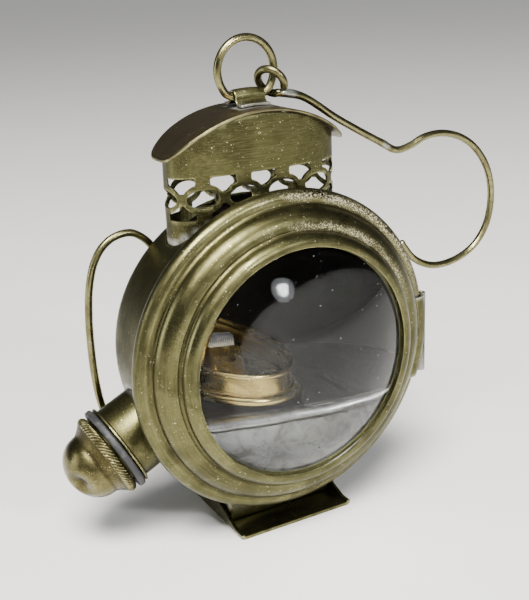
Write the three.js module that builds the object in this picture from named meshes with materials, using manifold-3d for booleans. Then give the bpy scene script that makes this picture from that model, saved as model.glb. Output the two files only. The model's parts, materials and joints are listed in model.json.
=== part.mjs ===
// Miniature brass hand lantern with a hinged bull's-eye door, an oil font and a hanging hook.
//
// Millimetres, +Z up. The front (the lens) faces -Y and +X is to the right seen from the front.
// The origin is the centre of the foot's underside. The drum's axis is horizontal, along Y.

import * as THREE from 'three';
import { mergeVertices } from 'three/addons/utils/BufferGeometryUtils.js';
import Module from 'manifold-3d';

const manifoldLibrary = await Module();
manifoldLibrary.setup();

// ---------------------------------------------------------------- driving dimensions

const GAP = 0.3;               // room left between pieces that touch
const SHEET = 0.8;             // gauge of the heavy brass sheet
const THIN_SHEET = 0.7;        // gauge of the light brass and tin sheet
const WIRE_RADIUS = 1.0;       // ring, hook and back handle are all 2 mm wire

const AXIS_Z = 48;             // height of the drum's axis above the bench
const RIM_Y = -12.6;           // plane of the door's widest rim
const BODY_Y = 2.6;            // mid plane of chimney, roof, burner and filler

const DRUM_RADIUS = 37.2;
const DRUM_FRONT_Y = -11.2;
const DRUM_BACK_Y = 14.5;
const DRUM_CORNER = 5;         // rounding between the drum's wall and its back

const RIM_RADIUS = 42;         // widest radius of the door
const LENS_OPENING = 29.4;     // radius of the door's opening
const SKIRT_RADIUS = 36.0;     // band behind the door that slips into the drum
const SKIRT_BACK_Y = -8.6;

const HINGE_X = 42.6;
const HINGE_Y = -12.4;
const HINGE_BOTTOM = 33;
const HINGE_TOP = 55.5;
const KNUCKLE_RADIUS = 1.2;
const KNUCKLE_CUTS = [40.4, 48.4];   // heights that part the three knuckles

const CHIMNEY_HALF_WIDTH = 23.3;
const CHIMNEY_HALF_DEPTH = 8;
const CHIMNEY_SQUARENESS = 2.6;      // exponent of the superellipse plan
const GALLERY_Z = 88.3;              // middle of the pierced band
const GALLERY_COUNT = 10;            // rings round the band
const GALLERY_START = 0.95;          // first ring's place, in ring pitches from the +X side
const GALLERY_HALF_HEIGHT = 5.2;
const RING_OUTER_HEIGHT = 3.7;       // half height of one ring's outer ellipse
const RING_HOLE = [4.0, 2.2];        // half width and half height of one ring's hole

const ROOF_HALF_WIDTH = 25.1;
const ROOF_HALF_DEPTH = 9.2;
const ROOF_SQUARENESS = 3.8;
const ROOF_CREST_Z = 108.5;
const ROOF_SAG = 9.8;                // drop from the crest to each end
const ROOF_RADIUS = (ROOF_HALF_WIDTH ** 2 + ROOF_SAG ** 2) / (2 * ROOF_SAG);
const ROOF_CENTRE_Z = ROOF_CREST_Z - ROOF_RADIUS;

const STRAP_HALF_LENGTH = 4.15;
const STRAP_AXIS_Z = 110.9;
const HANGING_RING_RADIUS = 7.8;     // to the middle of the wire
const HANGING_RING_Z = 116.9;

const FILLER_ANGLE = THREE.MathUtils.degToRad(206.7);   // from +X, seen from the front
const NECK_RADIUS = 10.1;
const NECK_MOUTH = 46.3;             // flange face, measured from the drum's axis
const FLANGE_RADIUS = 11.2;
const GASKET_RADIUS = 11.7;
const CAP_START = 2.5;               // open end of the cap, measured from the flange face
const CAP_DOME_START = 7.9;
const CAP_DOME_RADIUS = 8.6;
const CAP_DOME_HEIGHT = 7.3;
const OIL_HOLE_OFFSET = 5.5;
const OIL_HOLE_RADIUS = 3.4;

const FONT_RADIUS = 35.9;
const FONT_TOP_Z = 33;
const FONT_FRONT_Y = -8;
const FONT_BACK_Y = 13.3;

const FOOT_HALF_WIDTH = 16.8;
const FOOT_FRONT_Y = -15.1;
const FOOT_BACK_Y = 15.1;

// ---------------------------------------------------------------- materials

const metal = (color, roughness) => new THREE.MeshStandardMaterial({ color, roughness, metalness: 1 });
const brass = metal(0x8a8350, 0.38);
const polishedBrass = metal(0xb29a4e, 0.25);
const tin = metal(0xa9abae, 0.3);
const glass = new THREE.MeshStandardMaterial({ color: 0xdfe6e4, roughness: 0.05, metalness: 0 });
const rubber = new THREE.MeshStandardMaterial({ color: 0x16181a, roughness: 0.6, metalness: 0 });
const cotton = new THREE.MeshStandardMaterial({ color: 0xd9d2bd, roughness: 0.95, metalness: 0 });

// ---------------------------------------------------------------- solids and placing

const lantern = new THREE.Group();

function addPart(name, geometry, material) {
  const mesh = new THREE.Mesh(geometry, material);
  mesh.name = name;
  lantern.add(mesh);
  return mesh;
}

function welded(geometry) {
  const bare = geometry.clone();
  bare.deleteAttribute('normal');
  bare.deleteAttribute('uv');
  return mergeVertices(bare, 1e-4);
}

function toSolid(geometry) {
  const closed = welded(geometry);
  return new manifoldLibrary.Manifold(new manifoldLibrary.Mesh({
    numProp: 3,
    vertProperties: Float32Array.from(closed.attributes.position.array),
    triVerts: Uint32Array.from(closed.index.array),
  }));
}

function toGeometry(solid) {
  const mesh = solid.getMesh();
  const geometry = new THREE.BufferGeometry();
  geometry.setAttribute('position', new THREE.BufferAttribute(Float32Array.from(mesh.vertProperties), 3));
  geometry.setIndex(new THREE.BufferAttribute(Uint32Array.from(mesh.triVerts), 1));
  geometry.computeVertexNormals();
  return geometry;
}

// ---------------------------------------------------------------- shape helpers

// Points of an arc, both ends included. Angles in degrees.
function arc(cx, cy, rx, ry, from, to, steps) {
  return Array.from({ length: steps + 1 }, (_, i) => {
    const angle = THREE.MathUtils.degToRad(from + ((to - from) * i) / steps);
    return [cx + rx * Math.cos(angle), cy + ry * Math.sin(angle)];
  });
}

// A path moved sideways, to its left when the distance is positive.
function offsetPath(path, distance) {
  return path.map((point, i) => {
    const before = path[Math.max(i - 1, 0)];
    const after = path[Math.min(i + 1, path.length - 1)];
    const length = Math.hypot(after[0] - before[0], after[1] - before[1]);
    const normal = [-(after[1] - before[1]) / length, (after[0] - before[0]) / length];
    return [point[0] + distance * normal[0], point[1] + distance * normal[1]];
  });
}

// A closed outline of [radius, height] points, turned about the local Y axis.
function revolved(outline, segments) {
  const points = outline.map(([r, y]) => new THREE.Vector2(Math.max(r, 0), y));
  if (THREE.ShapeUtils.area(points) < 0) {
    points.reverse();
  }
  const onAxis = points.filter((point) => point.x === 0).length;
  if (onAxis >= 2) {
    // start on the axis and end on it
    while (!(points[0].x === 0 && points.at(-1).x === 0)) {
      points.push(points.shift());
    }
  } else {
    points.push(points[0].clone());
  }
  return welded(new THREE.LatheGeometry(points, segments));
}

// A solid of revolution about the drum's axis; heights of the outline are world Y.
const aboutDrumAxis = (outline, segments) => revolved(outline, segments).translate(0, 0, AXIS_Z);

// A solid of revolution about the upright line through (0, y); heights are world Z.
const aboutUpright = (outline, segments, y) => (
  revolved(outline, segments).rotateX(Math.PI / 2).translate(0, y, 0)
);

// A flat outline of [a, b] points given a thickness along the third axis.
function slab(outline, depth) {
  const shape = new THREE.Shape(outline.map(([a, b]) => new THREE.Vector2(a, b)));
  return new THREE.ExtrudeGeometry(shape, { depth, bevelEnabled: false });
}

// Outline in the X-Y plane, pulled up from z0 to z1.
const uprightSlab = (outline, z0, z1) => slab(outline, z1 - z0).translate(0, 0, z0);

// Outline in the Y-Z plane, pulled along X from x0 to x1.
const sideSlab = (outline, x0, x1) => (
  slab(outline, x1 - x0).rotateY(Math.PI / 2).rotateX(Math.PI / 2).translate(x0, 0, 0)
);

function box(x0, x1, y0, y1, z0, z1) {
  const geometry = new THREE.BoxGeometry(x1 - x0, y1 - y0, z1 - z0);
  return geometry.translate((x0 + x1) / 2, (y0 + y1) / 2, (z0 + z1) / 2);
}

// A round bar from one point to another.
function bar(radius, from, to, sides) {
  const start = new THREE.Vector3(...from);
  const along = new THREE.Vector3(...to).sub(start);
  const geometry = new THREE.CylinderGeometry(radius, radius, along.length(), sides);
  const turn = new THREE.Quaternion().setFromUnitVectors(new THREE.Vector3(0, 1, 0), along.clone().normalize());
  return geometry.applyQuaternion(turn).translate(...start.addScaledVector(along, 0.5).toArray());
}

const drumCylinder = (radius, y0, y1) => bar(radius, [0, y0, AXIS_Z], [0, y1, AXIS_Z], 72);
const roofCylinder = (radius) => bar(radius, [0, -20, ROOF_CENTRE_Z], [0, 30, ROOF_CENTRE_Z], 96);

function wire(points, steps) {
  const section = new THREE.Shape(
    arc(0, 0, WIRE_RADIUS, WIRE_RADIUS, 0, 315, 7).map(([a, b]) => new THREE.Vector2(a, b)),
  );
  return new THREE.ExtrudeGeometry(section, { steps, extrudePath: smoothCurve(points) });
}

const smoothCurve = (points) => (
  new THREE.CatmullRomCurve3(points.map((point) => new THREE.Vector3(...point)), false, 'centripetal')
);

function superellipse(halfWidth, halfDepth, exponent, steps) {
  return Array.from({ length: steps }, (_, i) => {
    const angle = (2 * Math.PI * i) / steps;
    const [c, s] = [Math.cos(angle), Math.sin(angle)];
    return [
      halfWidth * Math.sign(c) * Math.abs(c) ** (2 / exponent),
      halfDepth * Math.sign(s) * Math.abs(s) ** (2 / exponent) + BODY_Y,
    ];
  });
}

// ---------------------------------------------------------------- filler axis

const fillerDirection = new THREE.Vector3(Math.cos(FILLER_ANGLE), 0, Math.sin(FILLER_ANGLE));
const fillerDown = new THREE.Vector3(-Math.sin(FILLER_ANGLE), 0, Math.cos(FILLER_ANGLE));

// The point at a distance from the drum's axis along the filler, moved aside towards the oil.
function fillerPoint(distance, aside = 0) {
  const point = new THREE.Vector3(0, BODY_Y, AXIS_Z);
  return point.addScaledVector(fillerDirection, distance).addScaledVector(fillerDown, aside).toArray();
}

// A solid of revolution about the filler's axis; heights count outwards from the flange face.
function aboutFiller(outline, segments) {
  const turn = new THREE.Quaternion().setFromUnitVectors(new THREE.Vector3(0, 1, 0), fillerDirection);
  return revolved(outline, segments).applyQuaternion(turn).translate(...fillerPoint(NECK_MOUTH));
}

const oilHole = () => toSolid(
  bar(OIL_HOLE_RADIUS, fillerPoint(30, OIL_HOLE_OFFSET), fillerPoint(42, OIL_HOLE_OFFSET), 20),
);

// ---------------------------------------------------------------- drum

// Half section of a pan that is open at the front, as [radius, world Y] points.
function panOutline(radius, frontY, backY, corner, thickness) {
  return [
    [radius, frontY],
    ...arc(radius - corner, backY - corner, corner, corner, 0, 90, 4),
    [0, backY],
    [0, backY - thickness],
    ...arc(radius - corner, backY - corner, corner - thickness, corner - thickness, 90, 0, 3),
    [radius - thickness, frontY],
  ];
}

function drum() {
  const pan = toSolid(aboutDrumAxis(
    panOutline(DRUM_RADIUS, DRUM_FRONT_Y, DRUM_BACK_Y, DRUM_CORNER, SHEET), 56,
  ));
  const chimneyHole = toSolid(uprightSlab(
    superellipse(CHIMNEY_HALF_WIDTH + GAP, CHIMNEY_HALF_DEPTH + GAP, CHIMNEY_SQUARENESS, 40),
    AXIS_Z + 15, AXIS_Z + 45,
  ));
  return toGeometry(pan.subtract(chimneyHole).subtract(oilHole()));
}

// ---------------------------------------------------------------- chimney

// Spots round the chimney at equal steps of its girth, ring and spandrel by turns: position, and
// angle of the outward normal.
function galleryPoints() {
  const count = 2 * GALLERY_COUNT;
  const fine = superellipse(CHIMNEY_HALF_WIDTH, CHIMNEY_HALF_DEPTH, CHIMNEY_SQUARENESS, 2000);
  const curve = new THREE.CatmullRomCurve3(fine.map(([x, y]) => new THREE.Vector3(x, y, 0)), true);
  curve.arcLengthDivisions = 2000;
  const girth = curve.getLength();
  const spots = Array.from({ length: count }, (_, i) => {
    const share = ((GALLERY_START + i / 2) / GALLERY_COUNT) % 1;
    const tangent = curve.getTangentAt(share);
    return { at: curve.getPointAt(share), angle: Math.atan2(-tangent.x, tangent.y) };
  });
  return { spots, girth };
}

// A cutter with a [sideways, up] outline, pushed through the wall at one spot of the girth.
function wallCutter(outline, spot) {
  const cutter = slab(outline, 6).translate(0, 0, -3).rotateX(Math.PI / 2).rotateZ(spot.angle + Math.PI / 2);
  return toSolid(cutter.translate(spot.at.x, spot.at.y, GALLERY_Z));
}

// The opening between two rings: flat on its outer side, its inner sides follow the rings.
function spandrel(pitch, side) {
  const halfPitch = pitch / 2;
  const left = arc(-halfPitch, 0, halfPitch - 0.2, RING_OUTER_HEIGHT, 68, 22, 3);
  const right = arc(halfPitch, 0, halfPitch - 0.2, RING_OUTER_HEIGHT, 158, 112, 3);
  const halfTop = halfPitch - 1.9;
  return [...left, ...right, [halfTop, GALLERY_HALF_HEIGHT], [-halfTop, GALLERY_HALF_HEIGHT]]
    .map(([across, up]) => [across, side * up]);
}

function chimney() {
  const outer = superellipse(CHIMNEY_HALF_WIDTH, CHIMNEY_HALF_DEPTH, CHIMNEY_SQUARENESS, 40);
  const inner = superellipse(
    CHIMNEY_HALF_WIDTH - THIN_SHEET, CHIMNEY_HALF_DEPTH - THIN_SHEET, CHIMNEY_SQUARENESS, 40,
  );
  let tube = toSolid(uprightSlab(outer, AXIS_Z + 20, ROOF_CREST_Z));
  tube = tube.subtract(toSolid(uprightSlab(inner, AXIS_Z + 19, ROOF_CREST_Z + 1)));
  tube = tube.subtract(toSolid(drumCylinder(DRUM_RADIUS - SHEET - 0.8, -30, 30)));
  tube = tube.intersect(toSolid(roofCylinder(ROOF_RADIUS - SHEET - GAP)));
  const { spots, girth } = galleryPoints();
  const hole = arc(0, 0, RING_HOLE[0], RING_HOLE[1], 0, 330, 11);
  const pitch = girth / GALLERY_COUNT;
  spots.forEach((spot, i) => {
    const cutters = i % 2 === 0 ? [hole] : [spandrel(pitch, 1), spandrel(pitch, -1)];
    cutters.forEach((outline) => {
      tube = tube.subtract(wallCutter(outline, spot));
    });
  });
  return toGeometry(tube);
}

function roof() {
  const plan = superellipse(ROOF_HALF_WIDTH, ROOF_HALF_DEPTH, ROOF_SQUARENESS, 48);
  const block = toSolid(uprightSlab(plan, ROOF_CREST_Z - 20, ROOF_CREST_Z + 5));
  const barrel = toSolid(roofCylinder(ROOF_RADIUS)).subtract(toSolid(roofCylinder(ROOF_RADIUS - SHEET)));
  return toGeometry(block.intersect(barrel));
}

// ---------------------------------------------------------------- strap, ring and hook

// A strip folded over the ring's wire, with a foot lying on the roof before and behind it.
function ringStrap() {
  const outerRadius = WIRE_RADIUS + GAP + 0.6;
  const innerRadius = WIRE_RADIUS + GAP;
  const footReach = 4.6;
  const footTop = ROOF_CREST_Z + 1.0;
  const footUnder = ROOF_CREST_Z - 1;
  const profile = [
    [footReach, footTop],
    [outerRadius, footTop],
    ...arc(0, STRAP_AXIS_Z, outerRadius, outerRadius, 0, 180, 8),
    [-outerRadius, footTop],
    [-footReach, footTop],
    [-footReach, footUnder],
    [-innerRadius, footUnder],
    ...arc(0, STRAP_AXIS_Z, innerRadius, innerRadius, 180, 0, 8),
    [innerRadius, footUnder],
    [footReach, footUnder],
  ];
  const strip = sideSlab(profile, -STRAP_HALF_LENGTH, STRAP_HALF_LENGTH).translate(0, BODY_Y, 0);
  return toGeometry(toSolid(strip).subtract(toSolid(roofCylinder(ROOF_RADIUS + GAP))));
}

// Round wire ring, flattened where it lies in the strap; its two ends meet inside the strap.
function hangingRing() {
  const halfFlat = Math.sqrt(HANGING_RING_RADIUS ** 2 - (HANGING_RING_Z - STRAP_AXIS_Z) ** 2);
  const startAngle = THREE.MathUtils.radToDeg(Math.atan2(STRAP_AXIS_Z - HANGING_RING_Z, halfFlat));
  const bend = 9;
  const round = arc(
    0, HANGING_RING_Z, HANGING_RING_RADIUS, HANGING_RING_RADIUS, startAngle + bend, 180 - startAngle - bend, 18,
  );
  const points = [[0.2, STRAP_AXIS_Z], [2.2, STRAP_AXIS_Z], [halfFlat - 0.9, STRAP_AXIS_Z], ...round,
    [0.9 - halfFlat, STRAP_AXIS_Z], [-2.2, STRAP_AXIS_Z], [-0.2, STRAP_AXIS_Z]];
  return wire(points.map(([x, z]) => [x, BODY_Y, z]), 48);
}

// The eye closes round the ring's wire; shank and bow lie in one upright plane.
function hook() {
  const eyeRadius = 3.6;
  const eyeCentre = new THREE.Vector3(6.9, BODY_Y, HANGING_RING_Z - 3.3);
  const eyeAxis = new THREE.Vector3(-0.75, -0.45, -0.48).normalize();
  const across = new THREE.Vector3(0, 0, 1).cross(eyeAxis).normalize();
  const upward = eyeAxis.clone().cross(across);
  const onEye = (degrees) => {
    const angle = THREE.MathUtils.degToRad(degrees);
    return eyeCentre.clone()
      .addScaledVector(across, eyeRadius * Math.cos(angle))
      .addScaledVector(upward, eyeRadius * Math.sin(angle))
      .toArray();
  };
  const eye = Array.from({ length: 14 }, (_, i) => onEye(-22 + 24 * i));
  const shank = [[15.6, 109.1], [26.6, 102.1], [39.8, 94.6]];
  const elbow = [[45.4, 91.7], [50.3, 92.4]];
  const bow = [[54.4, 94.0], [60.5, 94.5], [67.4, 92.7], [73.2, 88.8], [78.0, 82.0], [79.7, 74.0],
    [78.2, 65.6], [73.6, 59.8], [66.3, 56.7], [58.4, 56.5], [51.8, 59.6], [48.0, 64.0], [47.3, 65.1]];
  const rest = [...shank, ...elbow, ...bow].map(([x, z]) => [x, BODY_Y, z]);
  return wire([...eye, ...rest], 88);
}

// Ear of wire soldered flat to the back of the drum; the lower half mirrors the upper half.
function backHandle() {
  const y = DRUM_BACK_Y + GAP + WIRE_RADIUS;
  const middleZ = 49.6;
  const upper = [[-19.4, 17.4], [-21.6, 21.6], [-24.2, 25.6], [-28.2, 28.2], [-32.6, 27.9], [-36.0, 25.9],
    [-38.6, 22.2], [-40.4, 16.6], [-41.4, 9.0]];
  const lower = upper.map(([x, up]) => [x, -up]).reverse();
  const points = [...upper, [-41.7, 0], ...lower];
  return wire(points.map(([x, up]) => [x, y, middleZ + up]), 44);
}

// ---------------------------------------------------------------- door

// Front surface of the door's stepped moulding, from its back edge in to the opening.
// [radius, distance behind the rim plane] points.
function mouldingPath() {
  return [
    [39.8, 2.3],
    ...arc(39.6, -0.1, 2.4, 2.4, 60, -92, 6),
    [38.7, -2.25],
    ...arc(33.6, -2.6, 4.6, 4.4, 0, -90, 5),
    [33.1, -6.75],
    ...arc(30.2, -7.1, 2.5, 3.0, 0, -90, 3),
    [LENS_OPENING, -10.1],
  ];
}

const behindRim = (path) => path.map(([r, y]) => [r, y + RIM_Y]);

function hingeLine(radius, z0, z1, sides = 16) {
  return toSolid(bar(radius, [HINGE_X, HINGE_Y, z0], [HINGE_X, HINGE_Y, z1], sides));
}

function doorBezel() {
  const front = mouldingPath();
  const back = offsetPath(front.filter((_, i) => i % 2 === 0 || i === front.length - 1), -SHEET);
  back[back.length - 1][0] = LENS_OPENING;
  const moulding = toSolid(aboutDrumAxis(behindRim([...front, ...back.reverse()]), 56));
  return toGeometry(moulding.subtract(hingeLine(KNUCKLE_RADIUS + 0.4, HINGE_BOTTOM - 1, HINGE_TOP + 1)));
}

function doorSkirt() {
  const inner = SKIRT_RADIUS - THIN_SHEET;
  return aboutDrumAxis([
    [inner, SKIRT_BACK_Y], [SKIRT_RADIUS, SKIRT_BACK_Y], [SKIRT_RADIUS, -17.2], [inner, -17.2],
  ], 56);
}

function lens() {
  const seatFront = RIM_Y - 8.9;
  const domeReach = 8.4;
  const domeBase = 29.0;
  const domeRadius = (domeBase ** 2 + domeReach ** 2) / (2 * domeReach);
  const domeHalfAngle = THREE.MathUtils.radToDeg(Math.asin(domeBase / domeRadius));
  const dome = arc(0, seatFront - domeReach + domeRadius, domeRadius, domeRadius, -90 + domeHalfAngle, -90, 8);
  dome[8][0] = 0;
  return aboutDrumAxis([
    [0, seatFront + 2.4], [30.7, seatFront + 2.4], [30.7, seatFront + 0.4], [29.6, seatFront + 0.2], ...dome,
  ], 44);
}

function lensRing() {
  const front = RIM_Y - 6.2;
  return aboutDrumAxis([
    [28.6, front], [31.4, front], [31.4, front + THIN_SHEET], [28.6, front + THIN_SHEET],
  ], 48);
}

// ---------------------------------------------------------------- hinge

function knuckle(z0, z1) {
  return hingeLine(KNUCKLE_RADIUS, z0, z1).subtract(hingeLine(0.7, z0 - 1, z1 + 1, 12));
}

// Leaf soldered over the door's outer bead, with the upper and lower knuckles.
function hingeLeafDoor() {
  const bead = mouldingPath().filter(([r, y]) => r > 38.3 && y < 0.5);
  const inner = offsetPath(bead, GAP);
  const outer = offsetPath(bead, GAP + 0.7);
  const band = toSolid(aboutDrumAxis(behindRim([...inner, ...outer.reverse()]), 96));
  const web = toSolid(box(38.2, HINGE_X, HINGE_Y - KNUCKLE_RADIUS, HINGE_Y - 0.3, HINGE_BOTTOM, HINGE_TOP));
  const mouldingRoom = toSolid(aboutDrumAxis(behindRim([
    [0, 2.6], ...offsetPath(mouldingPath(), GAP), [0, -10.4],
  ]), 96));
  const windows = toSolid(box(30, 50, -30, 0, HINGE_BOTTOM, HINGE_TOP));
  const [low, high] = KNUCKLE_CUTS;
  const leaf = band.intersect(windows).add(web).subtract(mouldingRoom)
    .subtract(hingeLine(KNUCKLE_RADIUS, 0, 90))
    .subtract(hingeLine(2.2, low - GAP, high + GAP));
  return toGeometry(leaf
    .add(knuckle(HINGE_BOTTOM, low - GAP))
    .add(knuckle(high + GAP, HINGE_TOP)));
}

// Leaf soldered to the drum's wall, reaching behind the door's rim to the middle knuckle.
function hingeLeafDrum() {
  const inner = DRUM_RADIUS + GAP;
  const band = toSolid(aboutDrumAxis([
    [inner, -9.7], [inner + 0.7, -9.7], [inner + 0.7, -3.2], [inner, -3.2],
  ], 96));
  const window = toSolid(box(30, 50, -30, 0, HINGE_BOTTOM, HINGE_TOP));
  const [low, high] = KNUCKLE_CUTS;
  const reach = toSolid(box(36.4, HINGE_X + 0.5, -9.7, -9.0, low, high))
    .add(toSolid(box(HINGE_X - 0.3, HINGE_X + 0.5, HINGE_Y, -9.0, low, high)))
    .subtract(toSolid(drumCylinder(inner, -30, 30)))
    .subtract(hingeLine(KNUCKLE_RADIUS, 0, 90));
  return toGeometry(band.intersect(window).add(reach).add(knuckle(low, high)));
}

const hingePin = () => bar(0.4, [HINGE_X, HINGE_Y, HINGE_BOTTOM - 0.4], [HINGE_X, HINGE_Y, HINGE_TOP + 0.4], 10);

// ---------------------------------------------------------------- filler

function fillerNeck() {
  const tube = toSolid(aboutFiller([
    [NECK_RADIUS, -16], [NECK_RADIUS, -0.7], [FLANGE_RADIUS, -0.6], [FLANGE_RADIUS, 0], [8.6, 0], [8.6, 4.8],
    [7.8, 4.8], [7.8, -0.8], [NECK_RADIUS - SHEET, -1.6], [NECK_RADIUS - SHEET, -16],
  ], 32));
  return toGeometry(tube.subtract(toSolid(drumCylinder(DRUM_RADIUS + GAP, -30, 30))));
}

const capGasket = () => aboutFiller([
  [9.2, GAP], [GASKET_RADIUS - 0.3, GAP], [GASKET_RADIUS, GAP + 0.3],
  [GASKET_RADIUS, CAP_START - GAP - 0.3], [GASKET_RADIUS - 0.3, CAP_START - GAP], [9.2, CAP_START - GAP],
], 32);

// Screw cap: open end, knurled bead, groove and a tall round dome.
function fillerCap() {
  return aboutFiller([
    [9.2, CAP_START],
    ...arc(9.7, 3.9, 1.5, 1.4, -80, 60, 4),
    [9.5, 6.4], [8.9, 7.1],
    ...arc(0, CAP_DOME_START, CAP_DOME_RADIUS, CAP_DOME_HEIGHT, 0, 90, 6),
    ...arc(0, CAP_DOME_START, CAP_DOME_RADIUS - 0.9, CAP_DOME_HEIGHT - 0.9, 90, 0, 5),
    [7.9, 7.0], [9.2, 5.5],
  ], 32);
}

// ---------------------------------------------------------------- font and burner

function insideFont(outline, topZ, y0, y1) {
  const block = toSolid(aboutDrumAxis(outline, 56));
  return block.intersect(toSolid(box(-40, 40, y0, y1, 0, topZ)));
}

function fontBlock(shrink) {
  const radius = FONT_RADIUS - shrink;
  return [
    [0, FONT_FRONT_Y + shrink], [radius, FONT_FRONT_Y + shrink],
    ...arc(radius - 3.6, FONT_BACK_Y - shrink - 3.6, 3.6, 3.6, 0, 90, 4),
    [0, FONT_BACK_Y - shrink],
  ];
}

// Tinned vessel that fills the bottom of the drum, with a rolled bead along its top front edge.
function font() {
  const outer = insideFont(fontBlock(0), FONT_TOP_Z, -40, 40);
  const inner = insideFont(fontBlock(THIN_SHEET), FONT_TOP_Z - THIN_SHEET, -40, 40);
  const reach = Math.sqrt(FONT_RADIUS ** 2 - (AXIS_Z - FONT_TOP_Z) ** 2) - 0.6;
  const beadZ = FONT_TOP_Z - 1.3;
  const bead = toSolid(bar(1.3, [-reach, FONT_FRONT_Y, beadZ], [reach, FONT_FRONT_Y, beadZ], 16))
    .intersect(toSolid(drumCylinder(FONT_RADIUS - 1, -30, 30)));
  const burnerHole = toSolid(bar(5.0, [0, BODY_Y, FONT_TOP_Z - 4], [0, BODY_Y, FONT_TOP_Z + 4], 24));
  return toGeometry(outer.add(bead).subtract(inner).subtract(burnerHole).subtract(oilHole()));
}

// Threaded collar in the font's top: a flange on the top, a short barrel through the hole.
const burnerCollar = () => aboutUpright([
  [3.9, FONT_TOP_Z - 2], [4.7, FONT_TOP_Z - 2], [4.7, FONT_TOP_Z + GAP], [6.8, FONT_TOP_Z + GAP],
  [6.8, FONT_TOP_Z + 1.0], [3.9, FONT_TOP_Z + 1.0],
], 28, BODY_Y);

// Dished burner plate: rolled foot bead, short wall, rolled rim, and a raised middle with a slot.
function burnerCup() {
  const base = FONT_TOP_Z + 1.3;
  const cup = toSolid(aboutUpright([
    [6.2, base], [9.9, base],
    ...arc(9.9, base + 0.9, 0.8, 0.9, -70, 60, 3),
    [9.6, base + 2.2], [9.6, base + 5.4],
    ...arc(9.8, base + 6.0, 0.6, 0.6, -60, 140, 3),
    [8.8, base + 5.4], [8.8, base + 2.2], [5.2, base + 2.8], [0, base + 2.8],
    [0, base + 1.8], [6.2, base + 1.8],
  ], 32, BODY_Y));
  const slot = toSolid(box(-3.6, 3.6, BODY_Y - 1.5, BODY_Y + 1.5, base, base + 5));
  return toGeometry(cup.subtract(slot));
}

// Flat wick tube and the wick inside it.
function wickTube() {
  const [z0, z1] = [FONT_TOP_Z - 1.5, FONT_TOP_Z + 8.5];
  const outer = toSolid(box(-3.3, 3.3, BODY_Y - 1.2, BODY_Y + 1.2, z0, z1));
  return toGeometry(outer.subtract(toSolid(box(-2.8, 2.8, BODY_Y - 0.8, BODY_Y + 0.8, z0 - 1, z1 + 1))));
}

const wick = () => box(-2.4, 2.4, BODY_Y - 0.45, BODY_Y + 0.45, 14, FONT_TOP_Z + 10.5);

// ---------------------------------------------------------------- foot

// Tray bent from one sheet: flat base, and two sides that climb from the front corners to the drum.
function footTray() {
  const length = FOOT_BACK_Y - FOOT_FRONT_Y;
  const climb = Array.from({ length: 7 }, (_, i) => {
    const along = 1.5 + ((length - 1.5) * i) / 6;
    return [FOOT_FRONT_Y + along, 0.36 * along + 0.0034 * along * along];
  });
  const side = [[FOOT_FRONT_Y, 0], [FOOT_FRONT_Y, SHEET], ...climb, [FOOT_BACK_Y, 0]];
  const leftSide = toSolid(sideSlab(side, -FOOT_HALF_WIDTH, SHEET - FOOT_HALF_WIDTH));
  const rightSide = toSolid(sideSlab(side, FOOT_HALF_WIDTH - SHEET, FOOT_HALF_WIDTH));
  const base = toSolid(box(-FOOT_HALF_WIDTH, FOOT_HALF_WIDTH, FOOT_FRONT_Y, FOOT_BACK_Y, 0, SHEET));
  const tray = base.add(leftSide).add(rightSide);
  return toGeometry(tray.subtract(toSolid(drumCylinder(DRUM_RADIUS + GAP, -30, 30))));
}

// Four-sided saddle between the tray and the underside of the drum.
function footSaddle() {
  const halfWidth = FOOT_HALF_WIDTH - SHEET - GAP;
  const [y0, y1, z0] = [-6.4, 11.2, SHEET + GAP];
  const outer = toSolid(box(-halfWidth, halfWidth, y0, y1, z0, 20));
  const inner = toSolid(box(SHEET - halfWidth, halfWidth - SHEET, y0 + SHEET, y1 - SHEET, 0, 21));
  return toGeometry(outer.subtract(inner).subtract(toSolid(drumCylinder(DRUM_RADIUS + GAP, -30, 30))));
}

// ---------------------------------------------------------------- the lantern

addPart('drum', drum(), brass);
addPart('chimney', chimney(), brass);
addPart('roof', roof(), brass);
addPart('ring_strap', ringStrap(), brass);
addPart('hanging_ring', hangingRing(), brass);
addPart('hook', hook(), brass);
addPart('back_handle', backHandle(), brass);
addPart('foot_tray', footTray(), brass);
addPart('foot_saddle', footSaddle(), brass);

addPart('door_bezel', doorBezel(), brass);
addPart('door_skirt', doorSkirt(), brass);
addPart('lens', lens(), glass);
addPart('lens_ring', lensRing(), brass);
addPart('hinge_leaf_door', hingeLeafDoor(), brass);
addPart('hinge_leaf_drum', hingeLeafDrum(), brass);
addPart('hinge_pin', hingePin(), brass);

addPart('filler_neck', fillerNeck(), brass);
addPart('cap_gasket', capGasket(), rubber);
addPart('filler_cap', fillerCap(), polishedBrass);

addPart('font', font(), tin);
addPart('burner_collar', burnerCollar(), polishedBrass);
addPart('burner_cup', burnerCup(), polishedBrass);
addPart('wick_tube', wickTube(), polishedBrass);
addPart('wick', wick(), cotton);

export default lantern;
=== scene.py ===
"""Small aged brass lantern with a bull's-eye lens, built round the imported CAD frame. Metres, front -Y."""

import math
import json

import bmesh
import bpy
import numpy as np
from mathutils import Matrix, Vector, noise


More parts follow.
